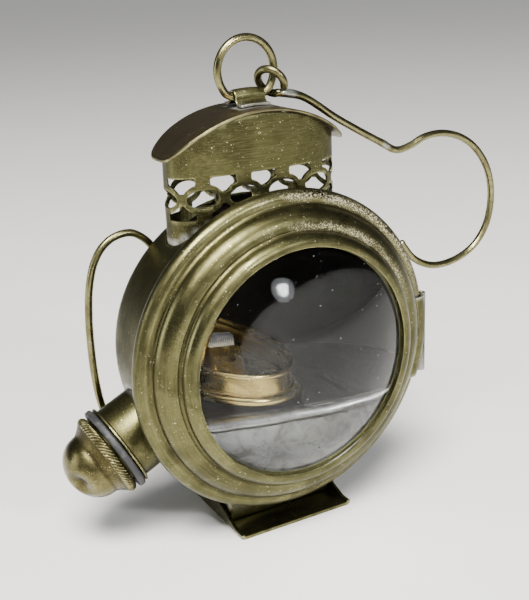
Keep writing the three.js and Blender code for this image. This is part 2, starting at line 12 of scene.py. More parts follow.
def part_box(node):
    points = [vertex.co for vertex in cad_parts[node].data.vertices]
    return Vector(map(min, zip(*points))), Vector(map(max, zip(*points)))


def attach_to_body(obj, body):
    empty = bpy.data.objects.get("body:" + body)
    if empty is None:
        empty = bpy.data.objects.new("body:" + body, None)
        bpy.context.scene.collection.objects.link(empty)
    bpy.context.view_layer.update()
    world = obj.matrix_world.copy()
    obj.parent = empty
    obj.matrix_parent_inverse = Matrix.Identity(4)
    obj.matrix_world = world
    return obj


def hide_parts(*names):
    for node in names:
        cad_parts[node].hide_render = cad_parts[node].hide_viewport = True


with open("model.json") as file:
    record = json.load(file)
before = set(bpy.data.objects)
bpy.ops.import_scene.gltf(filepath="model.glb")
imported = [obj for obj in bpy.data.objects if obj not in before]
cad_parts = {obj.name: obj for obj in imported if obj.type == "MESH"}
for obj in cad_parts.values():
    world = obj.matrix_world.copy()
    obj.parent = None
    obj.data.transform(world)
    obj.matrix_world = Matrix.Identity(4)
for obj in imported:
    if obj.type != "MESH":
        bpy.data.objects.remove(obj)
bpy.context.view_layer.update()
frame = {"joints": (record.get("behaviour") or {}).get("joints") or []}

MM = 0.001
TAU = 2 * math.pi

# ---- sizes in mm, read from the frame where it holds them


def box_mm(node):
    low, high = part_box(node)
    return low / MM, high / MM


def joint(name):
    return next(j for j in frame["joints"] if j["name"] == name)


drum_low, drum_high = box_mm("drum")
AXIS_Z = (drum_low.z + drum_high.z) / 2
DRUM_R = (drum_high.x - drum_low.x) / 2
DRUM_FRONT, DRUM_BACK = drum_low.y, drum_high.y
chimney_low, chimney_high = box_mm("chimney")
CHIMNEY_A = (chimney_high.x - chimney_low.x) / 2
CHIMNEY_B = (chimney_high.y - chimney_low.y) / 2
MID_Y = (chimney_low.y + chimney_high.y) / 2
roof_low, roof_high = box_mm("roof")
ROOF_A = (roof_high.x - roof_low.x) / 2
ROOF_B = (roof_high.y - roof_low.y) / 2
ROOF_TOP = roof_high.z
ROOF_SAG = 9.8
CHIMNEY_SQUARENESS, ROOF_SQUARENESS = 2.6, 3.8
ROOF_R = (ROOF_A**2 + ROOF_SAG**2) / (2 * ROOF_SAG)
ROOF_Z = ROOF_TOP - ROOF_R
MOULDING_DEPTH = 10.1
RIM_Y = box_mm("door_bezel")[0].y + MOULDING_DEPTH
HINGE = Vector(joint("door_swing")["pos_m"]) / MM
STRAP_Z = joint("ring_tilt")["pos_m"][2] / MM
RING_Z = joint("hook_round_ring")["pos_m"][2] / MM
FILLER_AXIS = Vector(joint("cap_travel")["axis"]).normalized()
FILLER_MOUTH = Vector(joint("cap_turn")["pos_m"]) / MM
OIL_HOLE_R = 3.4
OIL_HOLE = FILLER_MOUTH - FILLER_AXIS * 10 + Vector((-FILLER_AXIS.z, 0, FILLER_AXIS.x)) * 5.5
font_low, font_high = box_mm("font")
FONT_TOP = font_high.z
FONT_FRONT, FONT_BACK = -8.0, font_high.y
FONT_R = AXIS_Z - font_low.z
WIRE_R = 0.99
foot_low, foot_high = box_mm("foot_tray")
saddle_low, saddle_high = box_mm("foot_saddle")
handle_low, handle_high = box_mm("back_handle")

# ---- outlines


def arc(cx, cy, rx, ry, start, end, steps):
    angles = [math.radians(start + (end - start) * i / steps) for i in range(steps + 1)]
    return [(cx + rx * math.cos(a), cy + ry * math.sin(a)) for a in angles]


def oblong(x0, x1, y0, y1):
    return [(x0, y0), (x1, y0), (x1, y1), (x0, y1)]


def superellipse(a, b, power, steps):
    points = []
    for i in range(steps):
        angle = TAU * i / steps
        c, s = math.cos(angle), math.sin(angle)
        x, y = (math.copysign(abs(value) ** (2 / power), value) for value in (c, s))
        points.append((x * a, y * b))
    return points


def soften(points, radius, steps=3, closed=True):
    """The same outline with each sharp corner rounded."""
    out, count = [], len(points)
    for i, p in enumerate(points):
        if not closed and i in (0, count - 1):
            out.append(p)
            continue
        p = Vector(p)
        before, after = Vector(points[i - 1]), Vector(points[(i + 1) % count])
        to_before, to_after = before - p, after - p
        turn = math.pi - to_before.angle(to_after, math.pi)
        if turn < 0.35:
            out.append(tuple(p))
            continue
        a = p + to_before.normalized() * min(radius, to_before.length * 0.45)
        b = p + to_after.normalized() * min(radius, to_after.length * 0.45)
        for k in range(steps + 1):
            t = k / steps
            out.append(tuple(a * (1 - t) ** 2 + p * 2 * t * (1 - t) + b * t * t))
    return out


def shell(path, thickness):
    """A closed outline: an open path on one side, the same path moved inwards on the other."""
    path = [np.array(p, float) for p in path]
    back = []
    for i, p in enumerate(path):
        d = path[min(i + 1, len(path) - 1)] - path[max(i - 1, 0)]
        q = p + thickness * np.array([-d[1], d[0]]) / np.hypot(*d)
        if min(np.hypot(*(q - o)) for o in path) > thickness * 0.985:
            back.append(q)
    rounded_end = [path[-1] * (1 - t) + back[-1] * t for t in (0.15, 0.5, 0.85)]
    rounded_start = [back[0] * (1 - t) + path[0] * t for t in (0.15, 0.5, 0.85)]
    return [tuple(p) for p in [*path, *rounded_end, *back[::-1], *rounded_start]]


def spline(points, spacing):
    """Evenly spaced points on a smooth curve through the given ones."""
    p = np.array(points, float)
    p = np.vstack([2 * p[0] - p[1], p, 2 * p[-1] - p[-2]])
    dense = []
    for i in range(1, len(p) - 2):
        p0, p1, p2, p3 = p[i - 1 : i + 3]
        knots = [0.0]
        for a, b in ((p0, p1), (p1, p2), (p2, p3)):
            knots.append(knots[-1] + max(np.linalg.norm(b - a), 1e-6) ** 0.5)
        t0, t1, t2, t3 = knots
        for t in np.linspace(t1, t2, 40, endpoint=False):
            a1 = (t1 - t) / (t1 - t0) * p0 + (t - t0) / (t1 - t0) * p1
            a2 = (t2 - t) / (t2 - t1) * p1 + (t - t1) / (t2 - t1) * p2
            a3 = (t3 - t) / (t3 - t2) * p2 + (t - t2) / (t3 - t2) * p3
            b1 = (t2 - t) / (t2 - t0) * a1 + (t - t0) / (t2 - t0) * a2
            b2 = (t3 - t) / (t3 - t1) * a2 + (t - t1) / (t3 - t1) * a3
            dense.append((t2 - t) / (t2 - t1) * b1 + (t - t1) / (t2 - t1) * b2)
    dense.append(p[-2])
    dense = np.array(dense)
    run = np.concatenate([[0], np.cumsum(np.linalg.norm(np.diff(dense, axis=0), axis=1))])
    even = np.linspace(0, run[-1], max(int(run[-1] / spacing), 2) + 1)
    return np.stack([np.interp(even, run, dense[:, k]) for k in range(3)], 1)


# ---- meshes


def ripple(point, scale, seed):
    """Slow unevenness of hand-finished sheet, about -1 to 1."""
    return noise.noise(Vector(point) / scale + Vector((seed, 2.3 * seed, -seed)))


def lattice(rows, width, closed_rows=False, closed_width=True):
    """Quads between neighbouring rows of numbered points."""
    faces = []
    for i in range(rows if closed_rows else rows - 1):
        j = (i + 1) % rows
        for k in range(width if closed_width else width - 1):
            m = (k + 1) % width
            faces.append((i * width + k, i * width + m, j * width + m, j * width + k))
    return faces


def turned(outline, origin=(0, 0, None), axis=(0, 1, 0), steps=192, relief=None):
    """A closed (radius, height) outline turned about an axis. Returns vertices in mm and faces."""
    origin = Vector((origin[0], origin[1], AXIS_Z if origin[2] is None else origin[2]))
    axis = Vector(axis).normalized()
    side = Vector((1, 0, 0)) if abs(axis.x) < 0.8 else Vector((0, 1, 0))
    side = (side - axis * side.dot(axis)).normalized()
    other = side.cross(axis)
    vertices = []
    for i in range(steps):
        angle = TAU * i / steps
        out = side * math.cos(angle) + other * math.sin(angle)
        for r, h in outline:
            if relief and r > 0:
                r, h = relief(r, h, angle)
            vertices.append(origin + axis * h + out * max(r, 0))
    return vertices, lattice(steps, len(outline), True)


def swept(points, radius, sides=20):
    """A round bar along points, with domed ends. radius is a number or one number for each point."""
    points = np.array(points, float)
    radii = np.full(len(points), radius, float) if np.isscalar(radius) else np.array(radius, float)
    tangents = np.gradient(points, axis=0)
    tangents /= np.linalg.norm(tangents, axis=1)[:, None]
    normal = np.cross(tangents[0], (0.3, 0.9, 0.2))
    rings = []
    for p, t, r in zip(points, tangents, radii):
        normal = normal - t * (normal @ t)
        normal /= np.linalg.norm(normal)
        rings.append((p, t, normal.copy(), np.cross(t, normal), r))

    def dome(ring, sign, k):
        p, t, n, b, r = ring
        return p + sign * t * r * 0.7 * k, t, n, b, r * math.sqrt(1 - k * k)

    heights = [0.98, 0.85, 0.6, 0.3]
    start = [dome(rings[0], -1, k) for k in heights]
    end = [dome(rings[-1], 1, k) for k in heights[::-1]]
    loops = []
    angles = [TAU * k / sides for k in range(sides)]
    for p, _t, n, b, r in start + rings + end:
        loops.append([p + r * (math.cos(a) * n + math.sin(a) * b) for a in angles])
    return lofted(loops)


def prism(outline, place, low, high):
    """A flat outline pulled from low to high. place(a, b, depth) gives the point in mm."""
    return lofted([[place(a, b, depth) for a, b in outline] for depth in (low, high)])


def plan_view(a, b, depth):
    """Places a prism's outline flat in X and Y, pulled along Z."""
    return Vector((a, b, depth))


def drum_sized(radius, sides=200):
    """A long bar on the drum's axis, to cut with."""
    return swept([(0, -40, AXIS_Z), (0, 40, AXIS_Z)], radius, sides)


def lofted(loops):
    """A closed skin over loops of points, with a flat cap at each end."""
    n = len(loops[0])
    vertices = [Vector(p) for loop in loops for p in loop]
    first, last = tuple(range(n))[::-1], tuple(range(len(vertices) - n, len(vertices)))
    return vertices, [*lattice(len(loops), n), first, last]


def grid(rows):
    """An open sheet through rows of points."""
    return [Vector(p) for row in rows for p in row], lattice(len(rows), len(rows[0]), closed_width=False)


def make(name, shape, sharp=32):
    """A mesh object from vertices in mm, welded, facing outwards and smooth up to the sharp angle."""
    vertices, faces = shape
    bm = bmesh.new()
    for v in vertices:
        bm.verts.new(Vector(v) * MM)
    bm.verts.ensure_lookup_table()
    for f in faces:
        if len(set(f)) > 2:
            bm.faces.new([bm.verts[i] for i in f])
    bmesh.ops.remove_doubles(bm, verts=bm.verts, dist=2e-7)
    bmesh.ops.dissolve_degenerate(bm, edges=bm.edges, dist=1e-8)
    loose = [e for e in bm.edges if not e.link_faces]
    bmesh.ops.delete(bm, geom=loose, context="EDGES")
    bmesh.ops.recalc_face_normals(bm, faces=bm.faces)
    mesh = bpy.data.meshes.new(name)
    bm.to_mesh(mesh)
    bm.free()
    piece = bpy.data.objects.new(name, mesh)
    bpy.context.scene.collection.objects.link(piece)
    smooth(piece, sharp)
    return piece


def smooth(piece, sharp=32):
    mesh = piece.data
    mesh.polygons.foreach_set("use_smooth", [True] * len(mesh.polygons))
    mesh.set_sharp_from_angle(angle=math.radians(sharp))


def settle(piece, sharp=32):
    """Applies the modifiers."""
    bpy.context.view_layer.update()
    evaluated = piece.evaluated_get(bpy.context.evaluated_depsgraph_get())
    mesh = bpy.data.meshes.new_from_object(evaluated)
    piece.modifiers.clear()
    piece.data = mesh
    mesh.name = piece.name
    smooth(piece, sharp)


def carve(piece, cutters, operation="DIFFERENCE", sharp=32):
    """Cuts closed shapes out of a piece, or keeps what lies in them."""
    for i, shape in enumerate(cutters):
        cutter = make(f"cutter_{i}", shape)
        modifier = piece.modifiers.new("cut", "BOOLEAN")
        modifier.operation = operation
        modifier.solver = "EXACT"
        modifier.object = cutter
        settle(piece, sharp)
        bpy.data.objects.remove(cutter)


def thicken(piece, thickness, edge=0.12):
    """Gives an open sheet its gauge, inwards, and softens its edges. Sizes in mm."""
    modifier = piece.modifiers.new("gauge", "SOLIDIFY")
    modifier.thickness = thickness * MM
    modifier.offset = -1
    modifier.use_even_offset = True
    ease(piece, edge)


def ease(piece, width=0.12, segments=2, angle=40):
    """Rounds the sharp edges, width in mm."""
    modifier = piece.modifiers.new("edges", "BEVEL")
    modifier.width = width * MM
    modifier.segments = segments
    modifier.limit_method = "ANGLE"
    modifier.angle_limit = math.radians(angle)
    modifier.use_clamp_overlap = True
    settle(piece)


def face_sheet(piece, up):
    """Makes an open sheet's faces point up, or down."""
    middle = piece.data.polygons[len(piece.data.polygons) // 2]
    if (middle.normal.z > 0) != up:
        piece.data.flip_normals()


def mark_wear(piece):
    """Stores how far each point sticks out (wear) or lies in a corner (grime), for the materials."""
    mesh = piece.data
    count = len(mesh.vertices)
    co, no = np.zeros(count * 3), np.zeros(count * 3)
    mesh.vertices.foreach_get("co", co)
    mesh.vertices.foreach_get("normal", no)
    co, no = co.reshape(-1, 3), no.reshape(-1, 3)
    edges = np.zeros(len(mesh.edges) * 2, int)
    mesh.edges.foreach_get("vertices", edges)
    a, b = edges.reshape(-1, 2).T
    d = co[b] - co[a]
    length = np.linalg.norm(d, axis=1) + 1e-9
    bend_a = -(d * no[a]).sum(1) / length**2
    bend_b = (d * no[b]).sum(1) / length**2
    total, weight = np.zeros(count), np.zeros(count)
    for index, bend in ((a, bend_a), (b, bend_b)):
        np.add.at(total, index, bend * length)
        np.add.at(weight, index, length)
    curvature = 2 * total / np.maximum(weight, 1e-9) * MM  # per mm
    for name, value in (("wear", curvature / 0.9), ("grime", -curvature / 0.7)):
        layer = mesh.attributes.new(name, "FLOAT", "POINT")
        layer.data.foreach_set("value", np.clip(value, 0, 1).astype(np.float32))


def mark(piece, name, value):
    """Stores value(point in mm), 0 to 1, at each vertex."""
    layer = piece.data.attributes.new(name, "FLOAT", "POINT")
    values = [min(max(value(v.co / MM), 0.0), 1.0) for v in piece.data.vertices]
    layer.data.foreach_set("value", np.array(values, np.float32))


def near(centre, radius, fade):
    """A spot for mark(): 1 within radius of a point, down to 0 over fade."""
    centre = Vector(centre)
    return lambda p: 1 - ((p - centre).length - radius) / fade


def fit(piece, body, material, slot, *nodes):
    """Puts a finished piece on its body with its material, in place of its CAD nodes."""
    for name in ("solder", "soot_and_painted_shade", "cream"):
        if not piece.data.attributes.get(name):
            mark(piece, name, lambda p: 0.0)
    mark_wear(piece)
    piece.data.materials.clear()
    piece.data.materials.append(material)
    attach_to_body(piece, body)
    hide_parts(*nodes)
    return piece


# ---- materials


class Graph:
    """A short way to write node trees."""

    def __init__(self, name):
        self.material = bpy.data.materials.new(name)
        self.material.use_nodes = True
        self.tree = self.material.node_tree
        self.shader = self.tree.nodes["Principled BSDF"]

    def node(self, kind, inputs=None, **settings):
        made = self.tree.nodes.new("ShaderNode" + kind)
        for key, value in settings.items():
            setattr(made, key, value)
        for key, value in (inputs or {}).items():
            self.put(made.inputs[key], value)
        return made

    def put(self, socket, value):
        if isinstance(value, bpy.types.NodeSocket):
            self.tree.links.new(value, socket)
        else:
            socket.default_value = value

    def set(self, name, value):
        self.put(self.shader.inputs[name], value)

    def math(self, operation, a, b=0.0, clamp=False):
        return self.node("Math", {0: a, 1: b}, operation=operation, use_clamp=clamp).outputs[0]

    def times(self, a, b, clamp=False):
        return self.math("MULTIPLY", a, b, clamp)

    def plus(self, a, b, clamp=False):
        return self.math("ADD", a, b, clamp)

    def attribute(self, name):
        return self.node("Attribute", attribute_name=name).outputs["Fac"]

    def mix(self, factor, a, b):
        made = self.node("Mix", data_type="RGBA")
        self.put(made.inputs[0], factor)
        self.put(made.inputs[6], a)
        self.put(made.inputs[7], b)
        return made.outputs[2]

    def range(self, value, low, high, to_low=0.0, to_high=1.0):
        made = self.node("MapRange", {0: value, 1: low, 2: high, 3: to_low, 4: to_high})
        made.interpolation_type = "SMOOTHSTEP"
        return made.outputs[0]

    def noise(self, vector, scale, detail=4.0, rough=0.55, distortion=0.0):
        made = self.node("TexNoise", {"Vector": vector, "Scale": scale, "Detail": detail,
                                                "Roughness": rough, "Distortion": distortion})
        return made.outputs["Fac"]

    def cells(self, vector, scale):
        return self.node("TexVoronoi", {"Vector": vector, "Scale": scale}).outputs["Distance"]

    def coordinates(self):
        """Position in the row frame, in mm."""
        place = self.node("TexCoord").outputs["Object"]
        return self.node("VectorMath", {0: place, "Scale": 1000.0}, operation="SCALE").outputs[0]

    def bump(self, *layers):
        """Stacks (height, distance in mm, strength) bumps."""
        normal = None
        for height, distance, strength in layers:
            inputs = {"Height": height, "Distance": distance * MM, "Strength": strength}
            made = self.node("Bump", inputs)
            if normal:
                self.put(made.inputs["Normal"], normal)
            normal = made.outputs["Normal"]
        self.put(self.shader.inputs["Normal"], normal)


def streaks(g, point, grain):
    """Coordinates squeezed across the brushing, so that noise on them runs in fine lines."""
    if grain == "spun":
        moved = g.node("VectorMath", {0: point, 1: (0, 0, -AXIS_Z)}, operation="ADD").outputs[0]
        split = g.node("SeparateXYZ", {0: moved})
        x, y, z = split.outputs
        radius = g.math("SQRT", g.plus(g.times(x, x), g.times(z, z)))
        angle = g.math("ARCTAN2", z, x)
        return g.node("CombineXYZ", {0: radius, 1: y, 2: g.times(angle, 1.6)}).outputs[0]
    stretch = {"along_x": (0.05, 1, 1), "along_z": (1, 1, 0.05), "none": (0.6, 0.6, 0.6)}
    return g.node("VectorMath", {0: point, 1: stretch[grain]}, operation="MULTIPLY").outputs[0]


def aged_brass(name, grain, dark, mid, bright, gloss=0.3, speckle=0.5, brushing=0.5, cream=0.0):
    """Old brass: brushing, patina in patches and corners, pits, rubbed ridges, flakes, grey solder, and
    near-black soot that is partly painted shade.
    """
    g = Graph(name)
    point = g.coordinates()
    lines = streaks(g, point, grain)
    clouds = g.noise(point, 0.075, 5, 0.6, 0.6)
    blots = g.noise(point, 0.32, 6, 0.65, 0.3)
    mottle = g.noise(point, 1.5, 4, 0.65)
    brush = g.noise(lines, 3.2, 3, 0.7)
    brush_fine = g.noise(lines, 9.0, 2, 0.6)
    pits = g.range(g.cells(point, 0.95), 0.10, 0.02)
    pit_zone = g.range(g.noise(point, 0.13, 3), 0.50, 0.66)
    pits = g.times(pits, g.times(pit_zone, speckle))
    large_specks = g.range(g.cells(point, 0.62), 0.13, 0.07)
    small_specks = g.range(g.cells(point, 1.5), 0.17, 0.08)
    specks = g.math("MAXIMUM", large_specks, small_specks)
    specks = g.times(specks, g.range(g.noise(point, 0.35, 3), 0.46, 0.56))
    specks = g.times(specks, speckle, True)
    tarnish = g.plus(g.range(clouds, 0.36, 0.66), g.times(blots, 0.5))
    tarnish = g.math("SUBTRACT", tarnish, 0.25, True)
    colour = g.mix(tarnish, mid, dark)
    colour = g.mix(g.times(g.range(brush, 0.35, 0.75), brushing), colour, bright)
    grime = g.times(g.attribute("grime"), g.range(mottle, 0.2, 0.6))
    colour = g.mix(g.times(grime, 0.85), colour, (0.03, 0.022, 0.012, 1))
    rubbed = g.times(g.attribute("wear"), g.range(blots, 0.3, 0.62))
    colour = g.mix(g.times(rubbed, 0.75), colour, bright)
    colour = g.mix(g.times(specks, 0.75), colour, (0.62, 0.58, 0.36, 1))
    colour = g.mix(pits, colour, (0.035, 0.028, 0.014, 1))
    worn = None
    if cream:
        flakes = g.range(g.noise(point, 2.4, 5, 0.75, 0.3), 0.50, 0.58)
        patches = g.range(g.noise(point, 0.16, 2), 0.36, 0.50)
        worn = g.times(g.times(flakes, patches), g.times(g.attribute("cream"), cream))
        colour = g.mix(worn, colour, (0.66, 0.60, 0.40, 1))
    solder = g.times(g.attribute("solder"), g.range(g.noise(point, 0.9, 4), 0.3, 0.45))
    colour = g.mix(solder, colour, (0.42, 0.42, 0.39, 1))
    # Soot mark: near black, standing for real soot and for painted shade inside the lamp chamber.
    soot_and_painted_shade = g.attribute("soot_and_painted_shade")
    colour = g.mix(g.times(soot_and_painted_shade, g.range(blots, 0.1, 0.5, 0.8, 0.97)), colour, (0.010, 0.008, 0.007, 1))
    g.set("Base Color", colour)
    rough = gloss
    dulling = ((tarnish, 0.16), (mottle, 0.12), (rubbed, -0.1), (grime, 0.25), (solder, 0.15), (soot_and_painted_shade, 0.2))
    for layer, amount in dulling:
        rough = g.plus(rough, g.times(layer, amount))
    metallic = 1.0
    if worn:
        rough = g.plus(rough, g.times(worn, 0.3), True)
        metallic = g.math("SUBTRACT", 1.0, g.times(worn, 0.5))
    g.set("Roughness", rough)
    g.set("Metallic", metallic)
    g.bump(
        (clouds, 0.25, 0.25),
        (mottle, 0.05, 0.5),
        (brush, 0.02, 0.6 * brushing + 0.15),
        (brush_fine, 0.012, 0.6 * brushing + 0.1),
        (g.math("SUBTRACT", 1.0, pits), 0.06, 0.7),
    )
    return g.material


DARK = (0.034, 0.031, 0.011, 1)
MID = (0.066, 0.062, 0.023, 1)
BRIGHT = (0.36, 0.345, 0.165, 1)

door_brass = aged_brass("door_brass", "spun", DARK, (0.086, 0.080, 0.033, 1), BRIGHT, gloss=0.21, speckle=1.0,
                        brushing=0.12, cream=1.0)
spun_brass = aged_brass("spun_brass", "spun", DARK, MID, BRIGHT, gloss=0.26, speckle=0.6, brushing=0.12)
sheet_brass = aged_brass("sheet_brass", "along_x", DARK, MID, BRIGHT, gloss=0.25, speckle=1.0, brushing=0.16)
# The roof's brass is brighter and redder than the rest: its own tone plus a painted reddish reflection.
roof_brass_with_painted_reflection = aged_brass("roof_brass_with_painted_reflection", "along_x", (0.060, 0.044, 0.023, 1), (0.125, 0.098, 0.055, 1), BRIGHT,
                        gloss=0.3, speckle=0.8, brushing=0.05)
neck_brass = aged_brass("neck_brass", "none", DARK, (0.072, 0.067, 0.027, 1), BRIGHT, gloss=0.22, speckle=0.5,
                        brushing=0.1)
wire_brass = aged_brass("wire_brass", "none", (0.060, 0.052, 0.020, 1), (0.125, 0.114, 0.048, 1),
                        (0.42, 0.39, 0.2, 1), gloss=0.19, speckle=0.5, brushing=0.12)
turned_brass = aged_brass("turned_brass", "none", (0.042, 0.033, 0.011, 1), (0.090, 0.078, 0.029, 1),
                          (0.45, 0.42, 0.2, 1), gloss=0.17, speckle=1.0, brushing=0.12)
burner_brass = aged_brass("burner_brass", "none", (0.14, 0.095, 0.026, 1), (0.38, 0.28, 0.09, 1),
                          (0.75, 0.60, 0.27, 1), gloss=0.14, speckle=0.3, brushing=0.12)


def tinplate():
    g = Graph("tinplate")
    point = g.coordinates()
    lines = streaks(g, point, "along_x")
    stains = g.noise(point, 0.16, 5, 0.65, 1.2)
    spots = g.noise(point, 0.7, 5, 0.6)
    brush = g.noise(lines, 3.0, 3, 0.6)
    colour = g.mix(g.range(stains, 0.40, 0.66), (0.34, 0.34, 0.335, 1), (0.13, 0.12, 0.115, 1))
    colour = g.mix(g.times(g.range(spots, 0.55, 0.72), 0.6), colour, (0.14, 0.12, 0.11, 1))
    colour = g.mix(g.times(g.attribute("grime"), 0.8), colour, (0.05, 0.045, 0.04, 1))
    colour = g.mix(g.times(g.attribute("wear"), 0.5), colour, (0.85, 0.85, 0.84, 1))
    # The font's top behind its front seam goes near black: soot, and painted shade where the lamps reach it
    # through the unshadowed lens.
    place = g.node("SeparateXYZ", {0: point})
    top_soot_and_shade = g.times(g.range(place.outputs[2], FONT_TOP - 1.5, FONT_TOP - 0.5),
                   g.range(place.outputs[1], FONT_FRONT + 0.6, FONT_FRONT + 2.0))
    colour = g.mix(top_soot_and_shade, colour, (0.018, 0.016, 0.014, 1))
    g.set("Base Color", colour)
    g.set("Metallic", 1.0)
    rough = g.plus(0.17, g.times(stains, 0.3))
    g.set("Roughness", g.plus(rough, g.times(top_soot_and_shade, 0.3)))
    g.bump((stains, 0.3, 0.4), (spots, 0.06, 0.4), (brush, 0.015, 0.4))
    return g.material


def lens_glass():
    g = Graph("lens_glass")
    point = g.coordinates()
    dust = g.range(g.cells(point, 0.55), 0.085, 0.04)
    dust = g.times(dust, g.range(g.noise(point, 0.11, 3), 0.44, 0.6))
    smear = g.range(g.noise(point, 0.09, 4, 0.6, 1.0), 0.42, 0.75)
    colour = g.mix(dust, (0.96, 0.975, 0.965, 1), (0.80, 0.78, 0.72, 1))
    g.set("Base Color", colour)
    g.set("Roughness", g.plus(g.times(smear, 0.02), g.times(dust, 0.4)))
    g.set("Transmission Weight", g.math("SUBTRACT", 1.0, g.times(dust, 0.6)))
    g.shader.inputs["IOR"].default_value = 1.5
    g.shader.inputs["Specular Tint"].default_value = (0.25, 0.25, 0.25, 1)
    swirl = g.noise(point, 0.05, 2, 0.5, 1.5)
    g.bump((swirl, 0.05, 0.15), (dust, 0.03, 0.5))
    return g.material


def black_rubber():
    g = Graph("black_rubber")
    point = g.coordinates()
    grain = g.noise(point, 3.0, 5, 0.7)
    chalk = g.range(g.noise(point, 0.6, 4, 0.6), 0.5, 0.75)
    g.set("Base Color", g.mix(chalk, (0.012, 0.012, 0.013, 1), (0.055, 0.052, 0.048, 1)))
    g.set("Roughness", g.plus(0.42, g.times(grain, 0.3)))
    g.bump((grain, 0.05, 0.6))
    return g.material


def cotton():
    g = Graph("cotton")
    point = g.coordinates()
    ribs = g.node("TexWave", {"Vector": point, "Scale": 0.9, "Distortion": 1.0, "Detail": 2.0},
                  bands_direction="X").outputs["Fac"]
    rows = g.node("TexWave", {"Vector": point, "Scale": 1.3, "Distortion": 1.5, "Detail": 2.0},
                  bands_direction="Z").outputs["Fac"]
    fuzz = g.noise(point, 4.0, 4, 0.7)
    weave = g.times(ribs, rows)
    colour = g.mix(weave, (0.42, 0.37, 0.26, 1), (0.74, 0.69, 0.56, 1))
    height = g.node("SeparateXYZ", {0: point}).outputs[2]
    charred = g.range(g.plus(height, g.times(fuzz, 2.0)), FONT_TOP + 8.8, FONT_TOP + 10.6)
    colour = g.mix(charred, colour, (0.012, 0.01, 0.009, 1))
    g.set("Base Color", colour)
    g.set("Roughness", 0.95)
    g.shader.inputs["Sheen Weight"].default_value = 0.3
    g.bump((weave, 0.25, 0.8), (fuzz, 0.1, 0.6))
    return g.material


tin, glass, rubber, wick_cloth = tinplate(), lens_glass(), black_rubber(), cotton()

# ---- drum


def drum():
    """The pan of the lamp, with dents, a chimney hole, an oil hole, and inside it near-black soot that is
    partly painted shade.
    """
    corner, wall = 5.0, 0.8
    outside = [(DRUM_R, DRUM_FRONT), *[(DRUM_R, DRUM_FRONT + 1.2 * i) for i in range(1, 17)],
               *arc(DRUM_R - corner, DRUM_BACK - corner, corner, corner, 0, 90, 12)]
    outside += [(DRUM_R - corner - 2.0 * i, DRUM_BACK) for i in range(1, 16)] + [(0.6, DRUM_BACK)]
    inner_r = DRUM_R - wall
    inner = arc(DRUM_R - corner, DRUM_BACK - corner, corner - wall, corner - wall, 90, 0, 8)
    outline = [*outside, (0, DRUM_BACK), (0, DRUM_BACK - wall), *inner, (inner_r, DRUM_FRONT + 8),
               (inner_r, DRUM_FRONT + 0.1), (DRUM_R - wall * 0.6, DRUM_FRONT)]

    def dents(r, h, a):
        p = (r * math.cos(a), h, r * math.sin(a))
        depth = 0.10 * ripple(p, 17, 3.1) + 0.03 * ripple(p, 6, 9.4) - 0.06
        if h > DRUM_BACK - 0.9:
            return r, h + depth - 0.05
        return r + depth, h

    piece = make("drum_shell", turned(outline, steps=240, relief=dents))
    hole = [(x, y + MID_Y) for x, y in superellipse(CHIMNEY_A + 0.3, CHIMNEY_B + 0.3, CHIMNEY_SQUARENESS, 96)]
    carve(piece, [
        prism(hole, plan_view, AXIS_Z + 15, AXIS_Z + 45),
        swept([OIL_HOLE - FILLER_AXIS * 6, OIL_HOLE + FILLER_AXIS * 6], OIL_HOLE_R, 40),
    ])
    middle = FILLER_MOUTH - FILLER_AXIS * 8.5

    def solder(p):
        off = p - middle
        across = (off - FILLER_AXIS * off.dot(FILLER_AXIS)).length
        return 1.0 - abs(across - 10.6) / 0.9 if off.dot(FILLER_AXIS) > -6 else 0.0

    # Inside wall darkened nearly to black: partly soot, partly painted shade, as the lamps shine in through
    # the unshadowed lens.
    def soot_and_painted_shade(p):
        return (DRUM_R - 0.45 - math.hypot(p.x, p.z - AXIS_Z)) / 0.3 if p.y < DRUM_BACK - 0.5 else 0

    mark(piece, "solder", solder)
    mark(piece, "soot_and_painted_shade", soot_and_painted_shade)
    fit(piece, "lantern", spun_brass, "sheet_brass", "drum")


# ---- chimney and roof


def girth(a, b, power, count, start=0.0):
    """Points and outward directions at equal steps round the chimney."""
    fine = np.array(superellipse(a, b, power, 4000))
    fine = np.vstack([fine, fine[:1]])
    run = np.concatenate([[0], np.cumsum(np.hypot(*np.diff(fine, axis=0).T))])
    spots = []
    for i in range(count):
        s = (start + i / count) % 1 * run[-1]
        p = np.array([np.interp(s, run, fine[:, k]) for k in (0, 1)])
        q = np.array([np.interp(s + 0.05, run, fine[:, k]) for k in (0, 1)])
        t = (q - p) / np.hypot(*(q - p))
        spots.append((p + (0, MID_Y), np.array([t[1], -t[0]]), t))
    return spots, run[-1]


